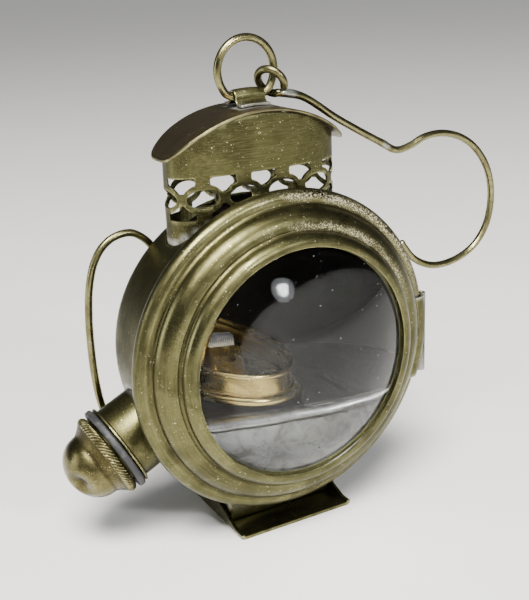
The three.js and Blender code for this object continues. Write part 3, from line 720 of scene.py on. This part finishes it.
def chimney():
    """The pierced tube: rings of the gallery are holes, with two curved triangles between neighbours."""
    rings, middle, power, wall = 10, 88.3, CHIMNEY_SQUARENESS, 0.7
    hole_a, hole_b, web, arch, shoulder, crown = 4.05, 2.25, 0.2, 3.7, 1.9, 5.2
    heights = [AXIS_Z + 22 + 1.5 * i for i in range(26)]
    outer, _ = girth(CHIMNEY_A, CHIMNEY_B, power, 220)
    loops = []
    for z in heights:
        loop = []
        for p, out, _t in outer:
            bulge = 0.10 * ripple((p[0], p[1], z), 9, 5.5)
            loop.append(Vector((*(p + out * bulge), z)))
        loops.append(loop)
    inner = [[Vector((*(p - out * wall), z)) for p, out, _t in outer] for z in (heights[-1], heights[0])]
    loops += inner
    vertices = [v for loop in loops for v in loop]
    piece = make("chimney_tube", (vertices, lattice(len(loops), len(outer), True)))
    spots, length = girth(CHIMNEY_A, CHIMNEY_B, power, 2 * rings, 0.95 / rings)
    pitch = length / rings
    half = pitch / 2
    cutters = []
    for i, (p, out, t) in enumerate(spots):
        def place(a, b, d, p=p, out=out, t=t):
            return Vector((*(p + t * a + out * d), middle + b))

        if i % 2 == 0:
            cutters.append(prism(arc(0, 0, hole_a, hole_b, 0, 352.5, 47), place, -3, 3))
            continue
        left = arc(-half, 0, half - web, arch, 68, 22, 8)
        right = arc(half, 0, half - web, arch, 158, 112, 8)
        triangle = soften([*left, *right, (half - shoulder, crown), (shoulder - half, crown)], 0.5)
        for side in (1, -1):
            cutters.append(prism([(a, side * b) for a, b in triangle], place, -3, 3))
    joined = ([], [])
    for vertices, faces in cutters:
        start = len(joined[0])
        joined[0].extend(vertices)
        joined[1].extend([tuple(start + k for k in f) for f in faces])
    drum_room = drum_sized(DRUM_R - 1.6, 160)
    roof_room = swept([(0, -20, ROOF_Z), (0, 26, ROOF_Z)], ROOF_R - 1.1, 200)
    carve(piece, [joined, drum_room])
    carve(piece, [roof_room], "INTERSECT")
    ease(piece, 0.13, 2, 50)

    def solder(p):
        over = math.hypot(p.x, p.z - AXIS_Z) - DRUM_R
        return 1 - abs(over - 0.3) / 0.8

    mark(piece, "solder", solder)
    fit(piece, "lantern", sheet_brass, "sheet_brass", "chimney")


def roof():
    """The curved plate, thinner and rounded at its edge."""
    plan = superellipse(ROOF_A, ROOF_B, ROOF_SQUARENESS, 240)

    def place(x, y, lift=0.0):
        buckle = 0.07 * ripple((x, y, 0), 11, 2.7)
        reach = ROOF_R + lift + buckle - 0.06
        return Vector((x, y + MID_Y, ROOF_Z + math.sqrt(reach * reach - x * x)))

    scales = [0.001, *[k / 24 for k in range(1, 24)], 0.975, 0.992, 1.0]

    def loop(s, lift, rounding):
        edge = max(0, s - 0.975) / 0.025
        return [place(x * s, y * s, lift + rounding * edge) for x, y in plan]

    loops = [loop(s, 0, -0.25) for s in scales] + [loop(s, -0.8, 0.2) for s in scales[::-1]]
    piece = make("roof_plate", lofted(loops))

    def solder(p):
        outside_strap = max(abs(p.x) - 4.3, abs(p.y - MID_Y) - 4.7)
        return 0.8 - outside_strap / 0.9 if p.z > ROOF_TOP - 1.5 else 0

    mark(piece, "solder", solder)
    fit(piece, "lantern", roof_brass_with_painted_reflection, "sheet_brass", "roof")


# ---- strap, ring, hook, handle


def strap():
    gauge, inner = 0.6, 1.3
    outer = inner + gauge
    foot_z = ROOF_TOP + 0.35
    path = [(-4.6, foot_z + gauge), (-2.6, foot_z + gauge), (-outer, foot_z + gauge + 0.7),
            *arc(0, STRAP_Z, outer, outer, 180, 0, 20),
            (outer, foot_z + gauge + 0.7), (2.6, foot_z + gauge), (4.6, foot_z + gauge)]
    path = soften(path, 0.8, 5, closed=False)
    rows = []
    for i in range(25):
        x = -4.15 + 8.3 * i / 24
        drop = x * x / (2 * ROOF_R)
        rows.append([(x, MID_Y + y, z - drop + 0.04 * ripple((x, y, z), 2.2, 6.0)) for y, z in path])
    piece = make("strap_clip", grid(rows))
    face_sheet(piece, True)
    thicken(piece, gauge, 0.12)
    mark(piece, "solder", lambda p: 0.8 - (p.z - foot_z - 0.2) / 0.6)
    fit(piece, "lantern", sheet_brass, "sheet_brass", "ring_strap")


def ring():
    radius = 7.8
    half_flat = math.sqrt(radius**2 - (RING_Z - STRAP_Z) ** 2)
    start = math.degrees(math.atan2(STRAP_Z - RING_Z, half_flat))
    round_part = arc(0, RING_Z, radius, radius, start + 9, 171 - start, 30)
    points = [(0.15, STRAP_Z), (2.2, STRAP_Z), (half_flat - 0.9, STRAP_Z), *round_part,
              (0.9 - half_flat, STRAP_Z), (-2.2, STRAP_Z), (-0.15, STRAP_Z)]
    path = spline([(x, MID_Y, z) for x, z in points], 0.4)
    piece = make("hanging_ring_wire", swept(path, WIRE_R, 24), 60)
    fit(piece, "ring", wire_brass, "wire_brass", "hanging_ring")


def hook():
    """One wire: an eye round the ring, a long shank and the wide bow, swollen where it is soldered."""
    centre = Vector((6.9, MID_Y, RING_Z - 3.3))
    eye_r = 3.6
    facing = Vector((-0.75, -0.45, -0.48)).normalized()
    across = Vector((0, 0, 1)).cross(facing).normalized()
    up = facing.cross(across)
    eye = []
    for i in range(14):
        a = math.radians(-22 + 24 * i)
        eye.append(tuple(centre + across * eye_r * math.cos(a) + up * eye_r * math.sin(a)))
    shank = [(15.6, 109.1), (26.6, 102.1), (39.8, 94.6), (45.4, 91.7), (50.3, 92.4), (54.4, 94.0)]
    bow = [(60.5, 94.5), (67.4, 92.7), (73.2, 88.8), (78.0, 82.0), (79.7, 74.0), (78.2, 65.6), (73.6, 59.8),
           (66.3, 56.7), (58.4, 56.5), (51.8, 59.6), (48.0, 64.0), (47.3, 65.1)]
    path = spline([*eye, *[(x, MID_Y, z) for x, z in shank + bow]], 0.45)
    swell = [1 + 0.16 * math.exp(-(((p[0] - 12.0) / 2.4) ** 2)) * (p[2] < 112.5)
             + 0.10 * math.exp(-(((p[0] - 41.0) / 1.2) ** 2)) for p in path]
    piece = make("hook_wire", swept(path, [WIRE_R * s for s in swell], 24), 60)

    def solder(p):
        return max(near((11.6, MID_Y, 110.9), 1.2, 2.2)(p), 0.8 * near((41.4, MID_Y, 93.6), 0.6, 1.4)(p))

    mark(piece, "solder", solder)
    fit(piece, "hook", wire_brass, "wire_brass", "hook")


def handle():
    y = (handle_low.y + handle_high.y) / 2
    upper = [(-19.4, 17.4), (-21.6, 21.6), (-24.2, 25.6), (-28.2, 28.2), (-32.6, 27.9), (-36.0, 25.9),
             (-38.6, 22.2), (-40.4, 16.6), (-41.4, 9.0)]
    middle = (handle_low.z + handle_high.z) / 2
    points = [*upper, (-41.7, 0), *[(x, -up) for x, up in upper[::-1]]]
    path = spline([(x, y, middle + up) for x, up in points], 0.6)
    last = len(path) - 1
    radius = [WIRE_R + 0.25 * math.exp(-((min(i, last - i) / 4) ** 2)) for i in range(len(path))]
    piece = make("handle_wire", swept(path, radius, 24), 60)
    ends = [near(tuple(path[0]), 1.0, 2.0), near(tuple(path[-1]), 1.0, 2.0)]
    mark(piece, "solder", lambda p: max(e(p) for e in ends))
    fit(piece, "lantern", wire_brass, "wire_brass", "back_handle")
    for index, spot in enumerate((path[0], path[-1])):
        blob = [(0, 0.0), *arc(0, 0, 2.3, 1.25, 6, 83, 11), (0, 1.25)]

        def lumpy(r, h, a, index=index):
            return r * (1 + 0.16 * math.sin(2 * a + index) + 0.07 * math.sin(5 * a)), h

        centre = (spot[0], DRUM_BACK + 0.05, spot[2])
        seam = make(f"handle_solder_{index}", turned(blob, centre, (0, 1, 0), 40, lumpy), 60)
        mark(seam, "solder", lambda p: 1.0)
        mark_wear(seam)
        seam.data.materials.append(wire_brass)
        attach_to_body(seam, "lantern")


# ---- foot


def foot():
    """The tray, whose sides climb to the drum, and the box between tray and drum."""
    half, front, back = foot_high.x, foot_low.y, foot_high.y
    gauge, bend = 0.8, 1.2
    length = back - front
    rows = []
    for i in range(61):
        along = length * i / 60
        y = front + along
        top = max(0.36 * along + 0.0034 * along * along, bend + 0.15)
        side = [(-half, top + (bend - top) * k / 12) for k in range(12)]
        turn = arc(-half + bend, bend, bend, bend, 180, 270, 6)
        flat = [(-half + bend + (half - bend) * k / 14, 0.0) for k in range(1, 14)]
        left = side + turn + flat
        section = left + [(0.0, 0.0)] + [(-x, z) for x, z in left[::-1]]
        rows.append([(x, y, z) for x, z in section])
    piece = make("foot_tray_sheet", grid(rows))
    face_sheet(piece, False)
    thicken(piece, gauge, 0.14)
    carve(piece, [drum_sized(DRUM_R + 0.25)])
    fit(piece, "lantern", sheet_brass, "sheet_brass", "foot_tray")

    x1, y0, y1, z0 = saddle_high.x, saddle_low.y, saddle_high.y, saddle_low.z
    outer = soften(oblong(-x1, x1, y0, y1), 1.6, 6)
    inner = soften(oblong(gauge - x1, x1 - gauge, y0 + gauge, y1 - gauge), 1.0, 6)
    piece = make("foot_saddle_box", prism(outer, plan_view, z0, 21))
    carve(piece, [
        prism(inner, plan_view, 0, 22),
        drum_sized(DRUM_R + 0.2),
    ])
    ease(piece, 0.12)
    mark(piece, "solder", lambda p: 1 - abs(math.hypot(p.x, p.z - AXIS_Z) - DRUM_R - 0.3) / 1.0)
    fit(piece, "lantern", sheet_brass, "sheet_brass", "foot_saddle")


# ---- door


def moulding():
    path = [(39.8, 2.3), *arc(39.6, -0.1, 2.4, 2.4, 60, -84, 22), (38.75, -2.35),
            *arc(33.6, -2.6, 4.6, 4.4, -6, -90, 20), (33.2, -6.85), *arc(30.2, -7.1, 2.5, 3.0, -8, -90, 14),
            (29.75, -10.1), (29.4, -9.95)]
    return soften(path, 0.35, 4, closed=False)


def door():
    outline = [(r, y + RIM_Y) for r, y in shell(moulding(), -0.8)]

    def dents(r, h, a):
        p = (r * math.cos(a), h, r * math.sin(a))
        depth = 0.055 * ripple(p, 9, 1.3) + 0.02 * ripple(p, 3.5, 4.2)
        return r + depth * 0.7, h + depth * 0.7

    piece = make("door_moulding", turned(outline, steps=288, relief=dents), 50)
    carve(piece, [swept([(HINGE.x, HINGE.y, 32), (HINGE.x, HINGE.y, 56.5)], 1.6, 40)])

    def cream(p):
        angle, r = math.degrees(math.atan2(p.z - AXIS_Z, p.x)), math.hypot(p.x, p.z - AXIS_Z)
        bands = math.exp(-(((r - 40.3) / 1.0) ** 2)) + 0.8 * math.exp(-(((r - 34.0) / 1.0) ** 2))
        return 1.25 * bands * (1 - (abs(angle - 58) / 50) ** 2) if p.y < RIM_Y + 1 else 0

    def solder(p):
        beside_hinge = 37.2 < p.x < 39.4 and 31.5 < p.z < 57
        return (1 - abs(p.z - 44.2) / 12.5) * 3 if beside_hinge else 0

    mark(piece, "cream", cream)
    mark(piece, "solder", solder)
    fit(piece, "door", door_brass, "door_brass", "door_bezel")

    low, high = box_mm("door_skirt")
    r = high.x
    skirt = soften(oblong(r - 0.7, r, low.y, high.y), 0.2)
    piece = make("door_skirt_band", turned(skirt, steps=192))
    # The skirt's inside goes nearly black: soot, and painted shade inside the lamp chamber.
    mark(piece, "soot_and_painted_shade", lambda p: 0.95 if math.hypot(p.x, p.z - AXIS_Z) < r - 0.4 else 0)
    fit(piece, "door", spun_brass, "door_brass", "door_skirt")

    low, high = box_mm("lens_ring")
    ring_outline = soften(oblong(28.6, 31.4, low.y, high.y), 0.2)
    piece = make("lens_ring_band", turned(ring_outline, steps=192))
    fit(piece, "door", spun_brass, "door_brass", "lens_ring")


def lens():
    low, high = box_mm("lens")
    back, edge = high.y, high.x
    seat = back - 2.4
    base, reach = 29.0, seat - low.y
    radius = (base**2 + reach**2) / (2 * reach)
    half = math.degrees(math.asin(base / radius))
    dome = arc(0, seat - reach + radius, radius, radius, -90 + half, -90, 40)[:-1]
    flat = [(edge * k / 12, back) for k in range(12)]
    corners = [flat[-1], (edge, back), (edge, seat + 0.4), (base + 0.5, seat + 0.15), dome[0]]
    rim = soften(corners, 0.3, closed=False)
    outline = [*flat[:-1], *rim, *dome[1:], (0.0, seat - reach)]
    piece = make("lens_bullseye", turned(outline, steps=192), 40)
    piece.visible_shadow = False
    fit(piece, "door", glass, "lens_glass", "lens")


# ---- hinge

HINGE_LOW, HINGE_HIGH = 33.0, 55.5
MIDDLE_LOW, MIDDLE_HIGH = 40.4, 48.4
KNUCKLE_R, BORE_R, PIN_HOLE_R = 1.2, 1.1, 0.7
hinge_brass = aged_brass("hinge_brass", "along_z", DARK, MID, BRIGHT, gloss=0.24, speckle=0.6, brushing=0.15)


def knuckle(z0, z1):
    outline = soften(oblong(PIN_HOLE_R, KNUCKLE_R, z0, z1), 0.15)
    return turned(outline, (HINGE.x, HINGE.y, 0), (0, 0, 1), 40)


def flat_ended(centre, z0, z1, radius):
    return turned(oblong(0, radius, z0, z1), (*centre, 0), (0, 0, 1), 48)


def join(first, second, operation="UNION"):
    """Adds one piece's mesh to another, or takes it away."""
    modifier = first.modifiers.new("join", "BOOLEAN")
    modifier.operation = operation
    modifier.solver = "EXACT"
    modifier.object = second
    settle(first)
    bpy.data.objects.remove(second)


def attach(first, second):
    """Adds a closed shell to a piece without cutting either."""
    bm = bmesh.new()
    bm.from_mesh(first.data)
    bm.from_mesh(second.data)
    bm.to_mesh(first.data)
    bm.free()
    bpy.data.objects.remove(second)


def on_circle(section, reach, steps):
    """Loops of a (radius, y) section from the hinge's bottom to its top, bent round the drum's axis."""
    return [[reach(r, y, i / steps) for r, y in section] for i in range(steps + 1)]


def hinge():
    height = HINGE_HIGH - HINGE_LOW
    pin_line = (HINGE.x, HINGE.y)
    bead = np.array([(r, y) for r, y in moulding() if r > 38.25 and y < 0.6])
    out = np.gradient(bead, axis=0)
    out = np.stack([-out[:, 1], out[:, 0]], 1) / np.hypot(*out.T)[:, None]
    if out[len(out) // 2] @ (bead[len(out) // 2] - (39.6, -0.1)) < 0:
        out = -out
    section = [tuple(q) for q in bead + out * 0.95] + [tuple(q) for q in (bead + out * 0.33)[::-1]]

    def over_rim(r, y, t):
        z = HINGE_LOW + height * t
        return (math.sqrt(r * r - (z - AXIS_Z) ** 2), y + RIM_Y, z)

    piece = make("hinge_leaf_front", lofted(on_circle(soften(section, 0.15, 2), over_rim, 40)))
    carve(piece, [
        flat_ended(pin_line, 20, 70, BORE_R),
        flat_ended(pin_line, MIDDLE_LOW - 0.3, MIDDLE_HIGH + 0.3, 2.2),
    ])
    for bottom, top in ((HINGE_LOW, MIDDLE_LOW - 0.3), (MIDDLE_HIGH + 0.3, HINGE_HIGH)):
        attach(piece, make("knuckle", knuckle(bottom, top)))
    mark(piece, "solder", lambda p: 0.8 - min(abs(p.z - HINGE_LOW), abs(p.z - HINGE_HIGH)) / 0.9)
    fit(piece, "door", hinge_brass, "door_brass", "hinge_leaf_door")

    inner, front, back = DRUM_R + 0.3, -9.7, -3.2
    outer = inner + 0.7
    low, high = (math.asin((z - AXIS_Z) / inner) for z in (HINGE_LOW, HINGE_HIGH))

    def over_drum(r, y, t):
        a = low + (high - low) * t
        return (r * math.cos(a), y, AXIS_Z + r * math.sin(a))

    section = soften([(outer, front), (outer, back), (inner, back), (inner, front)], 0.2)
    piece = make("hinge_leaf_back", lofted(on_circle(section, over_drum, 30)))
    start, left, right = 36.9, HINGE.x - 0.3, HINGE.x + 0.5
    web = [(start, front), (left, front), (left, HINGE.y), (right, HINGE.y), (right, -9.0), (start, -9.0)]
    join(piece, make("arm", prism(soften(web, 0.3), plan_view, MIDDLE_LOW, MIDDLE_HIGH)))
    carve(piece, [drum_sized(inner), flat_ended(pin_line, 20, 70, BORE_R)])
    attach(piece, make("knuckle", knuckle(MIDDLE_LOW, MIDDLE_HIGH)))

    def solder(p):
        return 1 - min(abs(p.z - HINGE_LOW), abs(p.z - HINGE_HIGH), abs(p.y - back)) / 1.2

    mark(piece, "solder", solder)
    fit(piece, "lantern", hinge_brass, "door_brass", "hinge_leaf_drum")

    pin_low, pin_high = box_mm("hinge_pin")
    low, high = pin_low.z, pin_high.z
    ends = [(0, low), (0.3, low + 0.02), (0.42, low + 0.2), (0.42, high - 0.2), (0.3, high - 0.02), (0, high)]
    piece = make("hinge_pin_wire", turned(ends, (HINGE.x, HINGE.y, 0), (0, 0, 1), 24))
    fit(piece, "lantern", wire_brass, "door_brass", "hinge_pin")


# ---- filler


def knock(piece, heart):
    """An old dent in the cap's dome, off its middle and towards the front."""
    forward = Vector((0, -1, 0))
    upward = FILLER_AXIS.cross(forward).normalized()
    upward = upward if upward.z > 0 else -upward
    blow = (FILLER_AXIS * 0.80 + forward * 0.62 + upward * 0.10).normalized()
    hit, width = heart + blow * 8.0, 4.6
    for v in piece.data.vertices:
        away = (v.co / MM - hit).length
        if away < width:
            bowl = 1.5 * math.cos(away / width * math.pi / 2) ** 2
            v.co -= blow * (bowl + 0.35 * math.exp(-((away / 1.3) ** 2))) * MM


def filler():
    """The neck soldered into the drum, its rubber washer and the screw cap with a knurled bead."""
    neck, flange, spigot, wall, depth, reach = 10.1, 11.2, 8.6, 0.8, 15, 4.8
    outline = [*[(neck, i - depth) for i in range(14)], (neck, -0.75), (flange, -0.6), (flange, 0),
               (spigot, 0), (spigot, reach), (spigot - wall, reach), (spigot - wall, -wall),
               (neck - wall, -1.6), (neck - wall, -depth)]
    piece = make("filler_neck_tube", turned(soften(outline, 0.22, 3), FILLER_MOUTH, FILLER_AXIS, 144))
    carve(piece, [drum_sized(DRUM_R + 0.12, 240)])

    def seam(p):
        return 1 - (math.hypot(p.x, p.z - AXIS_Z) - DRUM_R - 0.2) / 0.9

    mark(piece, "solder", seam)
    fit(piece, "lantern", neck_brass, "sheet_brass", "filler_neck")

    outer_edge = [*arc(10.95, 0.95, 0.7, 0.65, -85, -5, 6), *arc(10.95, 1.55, 0.7, 0.65, 5, 85, 6)]
    ring_outline = [(9.2, 0.3), *outer_edge, (9.2, 2.2)]

    def pinched(r, h, a):
        return r + 0.12 * ripple((9 * math.cos(a), h, 9 * math.sin(a)), 5, 3.0) * (r > 10), h

    piece = make("cap_gasket_ring", turned(ring_outline, FILLER_MOUTH, FILLER_AXIS, 144, pinched))
    fit(piece, "gasket", rubber, "black_rubber", "cap_gasket")

    dome_start, dome_radius, dome_height = 7.9, 8.6, 7.3
    outside = [(9.2, 2.5), *arc(9.7, 3.9, 1.5, 1.4, -80, 62, 26), (9.9, 5.7), (9.35, 6.4), (8.95, 6.9),
               (8.65, 7.4), *arc(0, dome_start, dome_radius, dome_height, 0, 90, 40)[:-1],
               (0, dome_start + dome_height)]
    inside = [*arc(0, dome_start, dome_radius - 0.9, dome_height - 0.9, 90, 0, 12), (7.9, 7.0), (9.2, 5.5)]
    inside[0] = (0, inside[0][1])

    def knurl(r, h, a):
        if r < 10.2 or not 2.7 < h < 5.1:
            return r, h
        fade = math.sin(math.pi * (h - 2.7) / 2.4) ** 0.5
        wave = math.sin(64 * (a + 0.10 * (h - 3.9)))
        return r + 0.17 * fade * (wave - 0.4), h

    piece = make("filler_cap_shell", turned([*outside, *inside], FILLER_MOUTH, FILLER_AXIS, 384, knurl), 45)
    knock(piece, FILLER_MOUTH + FILLER_AXIS * dome_start)
    smooth(piece, 45)
    fit(piece, "cap", turned_brass, "turned_brass", "filler_cap")


# ---- font and burner


def font():
    """The oil vessel: the lower part of a flat drum, with a folded seam along its top front edge."""
    corner, edge, wall = 3.6, 0.6, 0.7
    outline = [(0, FONT_FRONT), *[(FONT_R * k / 30, FONT_FRONT) for k in range(1, 29)],
               *arc(FONT_R - edge, FONT_FRONT + edge, edge, edge, -90, 0, 4),
               *arc(FONT_R - corner, FONT_BACK - corner, corner, corner, 0, 90, 10), (0, FONT_BACK)]

    def swell(r, h, a):
        if h < FONT_FRONT + 0.2:
            p = (r * math.cos(a), h, r * math.sin(a))
            return r, h + 0.25 * abs(ripple(p, 14, 2.0)) + 0.12 * abs(ripple(p, 5, 8.0))
        return r, h

    def below(z):
        return prism(oblong(-60, 60, -40, 40), plan_view, 0, z)

    piece = make("font_vessel", turned(outline, steps=180, relief=swell))
    carve(piece, [below(FONT_TOP)], "INTERSECT")
    inside = corner - wall
    hollow = make("hollow", turned([
        (0, FONT_FRONT + wall), (FONT_R - wall, FONT_FRONT + wall),
        *arc(FONT_R - corner, FONT_BACK - corner, inside, inside, 0, 90, 6), (0, FONT_BACK - wall),
    ], steps=120))
    carve(hollow, [below(FONT_TOP - wall)], "INTERSECT")
    join(piece, hollow, "DIFFERENCE")
    carve(piece, [
        flat_ended((0, MID_Y), FONT_TOP - 4, FONT_TOP + 4, 5.0),
        swept([OIL_HOLE - FILLER_AXIS * 8, OIL_HOLE + FILLER_AXIS * 6], OIL_HOLE_R, 40),
    ])
    seam_r = 1.3
    reach = math.sqrt((FONT_R - 1.0) ** 2 - (AXIS_Z - FONT_TOP + seam_r) ** 2)
    line = []
    for x in np.linspace(-reach, reach, 80):
        y = FONT_FRONT + 0.1 * ripple((x, 0, 0), 5, 1.0)
        line.append((x, y, FONT_TOP - seam_r + 0.15 * ripple((x, 0, 0), 7, 3.0)))
    join(piece, make("bead", swept(line, seam_r, 32)))
    fit(piece, "lantern", tin, "tinplate", "font")


def burner():
    """Collar in the font, the burner's cup with its air holes, the flat wick tube and the wick."""
    middle, t = (0, MID_Y, 0), FONT_TOP
    bore, thread, flange = 3.9, 4.7, 6.8
    collar = [(bore, t - 2), (thread, t - 2), (thread, t + 0.3), (flange, t + 0.3), (flange, t + 1),
              (bore, t + 1)]
    piece = make("burner_collar_ring", turned(soften(collar, 0.15), middle, (0, 0, 1), 96))
    fit(piece, "lantern", burner_brass, "turned_brass", "burner_collar")

    base = t + 1.3
    low_bead = arc(9.9, base + 0.9, 0.75, 0.9, -80, 70, 10)
    high_bead = arc(9.85, base + 6.0, 0.55, 0.6, -60, 200, 14)
    cup = [(0, base + 1.8), (6.2, base + 1.8), (6.2, base), (9.4, base), *low_bead, (9.6, base + 2.0),
           (9.6, base + 5.4), *high_bead, (8.8, base + 5.2), (8.8, base + 2.6), (8.2, base + 2.5),
           (5.4, base + 2.9), (4.6, base + 2.9), (0, base + 2.85)]
    piece = make("burner_cup_dish", turned(soften(cup, 0.2, 3, closed=False), middle, (0, 0, 1), 160))
    hole_circle, hole_r, holes = 7.5, 0.5, 14
    slot = soften(oblong(-3.6, 3.6, MID_Y - 1.5, MID_Y + 1.5), 0.8, 5)
    cutters = [prism(slot, plan_view, base - 1, base + 4)]
    for i in range(holes):
        a = TAU * (i + 0.31) / holes
        spot = (hole_circle * math.cos(a), MID_Y + hole_circle * math.sin(a))
        cutters.append(flat_ended(spot, base - 1, base + 4, hole_r))
    carve(piece, cutters)
    fit(piece, "burner", burner_brass, "turned_brass", "burner_cup")

    low, high = box_mm("wick_tube")
    side, face = 0.45, 0.4
    outer = soften(oblong(low.x, high.x, low.y, high.y), 1.1, 6)
    inner = soften(oblong(low.x + side, high.x - side, low.y + face, high.y - face), 0.7, 6)
    piece = make("wick_tube_flat", prism(outer, plan_view, low.z, high.z))
    carve(piece, [prism(inner, plan_view, low.z - 1, high.z + 1)])
    ease(piece, 0.08)
    fit(piece, "burner", burner_brass, "turned_brass", "wick_tube")

    low, high = box_mm("wick")
    outline = soften(oblong(low.x, high.x, low.y, high.y), 0.4, 4)
    steps = 60
    loops = []
    for i in range(steps + 1):
        z = low.z + (high.z - low.z) * i / steps
        loop = []
        for x, y in outline:
            fray = 0.12 * ripple((x, y, z), 0.8, 4.0)
            lift = 0.5 * ripple((x * 2, y, 0), 1.0, 7.0) - 0.4 if i == steps else 0.0
            loop.append((x * (1 + 0.02 * fray), y + 0.09 * fray, z + lift))
        loops.append(loop)
    piece = make("wick_ribbon", lofted(loops))
    fit(piece, "wick", wick_cloth, "cotton", "wick")


# ---- build


for build in (drum, chimney, roof, strap, ring, hook, handle, foot, door, lens, hinge, filler, font, burner):
    build()

# ---- stage, light and camera


def floor():
    bm = bmesh.new()
    bmesh.ops.create_grid(bm, x_segments=8, y_segments=8, size=6.0)
    mesh = bpy.data.meshes.new("floor")
    bm.to_mesh(mesh)
    bm.free()
    ground = bpy.data.objects.new("floor", mesh)
    bpy.context.scene.collection.objects.link(ground)
    g = Graph("pale_floor")
    point = g.coordinates()
    shade = g.noise(point, 0.02, 4)
    g.set("Base Color", g.mix(shade, (0.74, 0.73, 0.71, 1), (0.79, 0.78, 0.76, 1)))
    g.set("Roughness", 0.55)
    ground.data.materials.append(g.material)


def shine(name, light, place, toward):
    """Hangs a light at a place, looking along a direction."""
    lamp = bpy.data.objects.new(name, light)
    bpy.context.scene.collection.objects.link(lamp)
    lamp.location = place
    lamp.rotation_mode = "QUATERNION"
    lamp.rotation_quaternion = toward.to_track_quat("-Z", "Y")


def softbox(name, place, size, power, colour, target=(0, 0, 0.06), shape="RECTANGLE"):
    light = bpy.data.lights.new(name, "AREA")
    light.shape = shape
    light.size, light.size_y = size
    light.energy = power
    light.color = colour
    shine(name, light, place, Vector(target) - Vector(place))


floor()
GLASS = (0, -0.02, 0.07)
softbox("lamp", (0.16, -0.73, 0.41), (0.10, 0.10), 4.0, (0.97, 0.98, 1.0), GLASS, "DISK")
softbox("glow", (0.164, -0.748, 0.418), (0.20, 0.20), 1.4, (0.93, 0.96, 1.0), GLASS, "DISK")
softbox("left", (-0.80, 0.15, 0.25), (0.25, 0.5), 2.5, (0.95, 0.97, 1.0))
softbox("key", (-0.28, -0.42, 0.88), (0.50, 0.36), 30.0, (1.0, 0.98, 0.94))

sky = bpy.data.lights.new("sky", "SUN")
sky.energy = 1.6
sky.angle = math.radians(25)
shine("sky", sky, (0, 0, 0), Vector((0.25, 0.30, -0.92)))

world = bpy.data.worlds.new("studio")
bpy.context.scene.world = world
world.use_nodes = True
background = world.node_tree.nodes["Background"]
background.inputs[0].default_value = (0.80, 0.82, 0.85, 1)
background.inputs[1].default_value = 0.12

# The camera stands to the left of the lantern's front, above it, and close.
AZIMUTH, ELEVATION, ROLL = math.radians(-28.75), math.radians(18.9), math.radians(-2.4)
DISTANCE, LEFTWARDS, UPWARDS = 0.2533, 0.00512, 0.01346
outward = Vector((math.sin(AZIMUTH), -math.cos(AZIMUTH), 0))
back = outward * math.cos(ELEVATION) + Vector((0, 0, math.sin(ELEVATION)))
level = Vector((math.cos(AZIMUTH), math.sin(AZIMUTH), 0))
upright = back.cross(level)
right = level * math.cos(ROLL) + upright * math.sin(ROLL)
above = upright * math.cos(ROLL) - level * math.sin(ROLL)
aim = Vector((0, RIM_Y, AXIS_Z - 0.1)) * MM
lens_data = bpy.data.cameras.new("camera")
lens_data.lens = 60
lens_data.sensor_width = 36
lens_data.clip_start = 0.01
camera = bpy.data.objects.new("camera", lens_data)
bpy.context.scene.collection.objects.link(camera)
camera.matrix_world = Matrix((right, above, back)).transposed().to_4x4()
camera.location = aim + back * DISTANCE - level * LEFTWARDS + upright * UPWARDS
bpy.context.scene.camera = camera
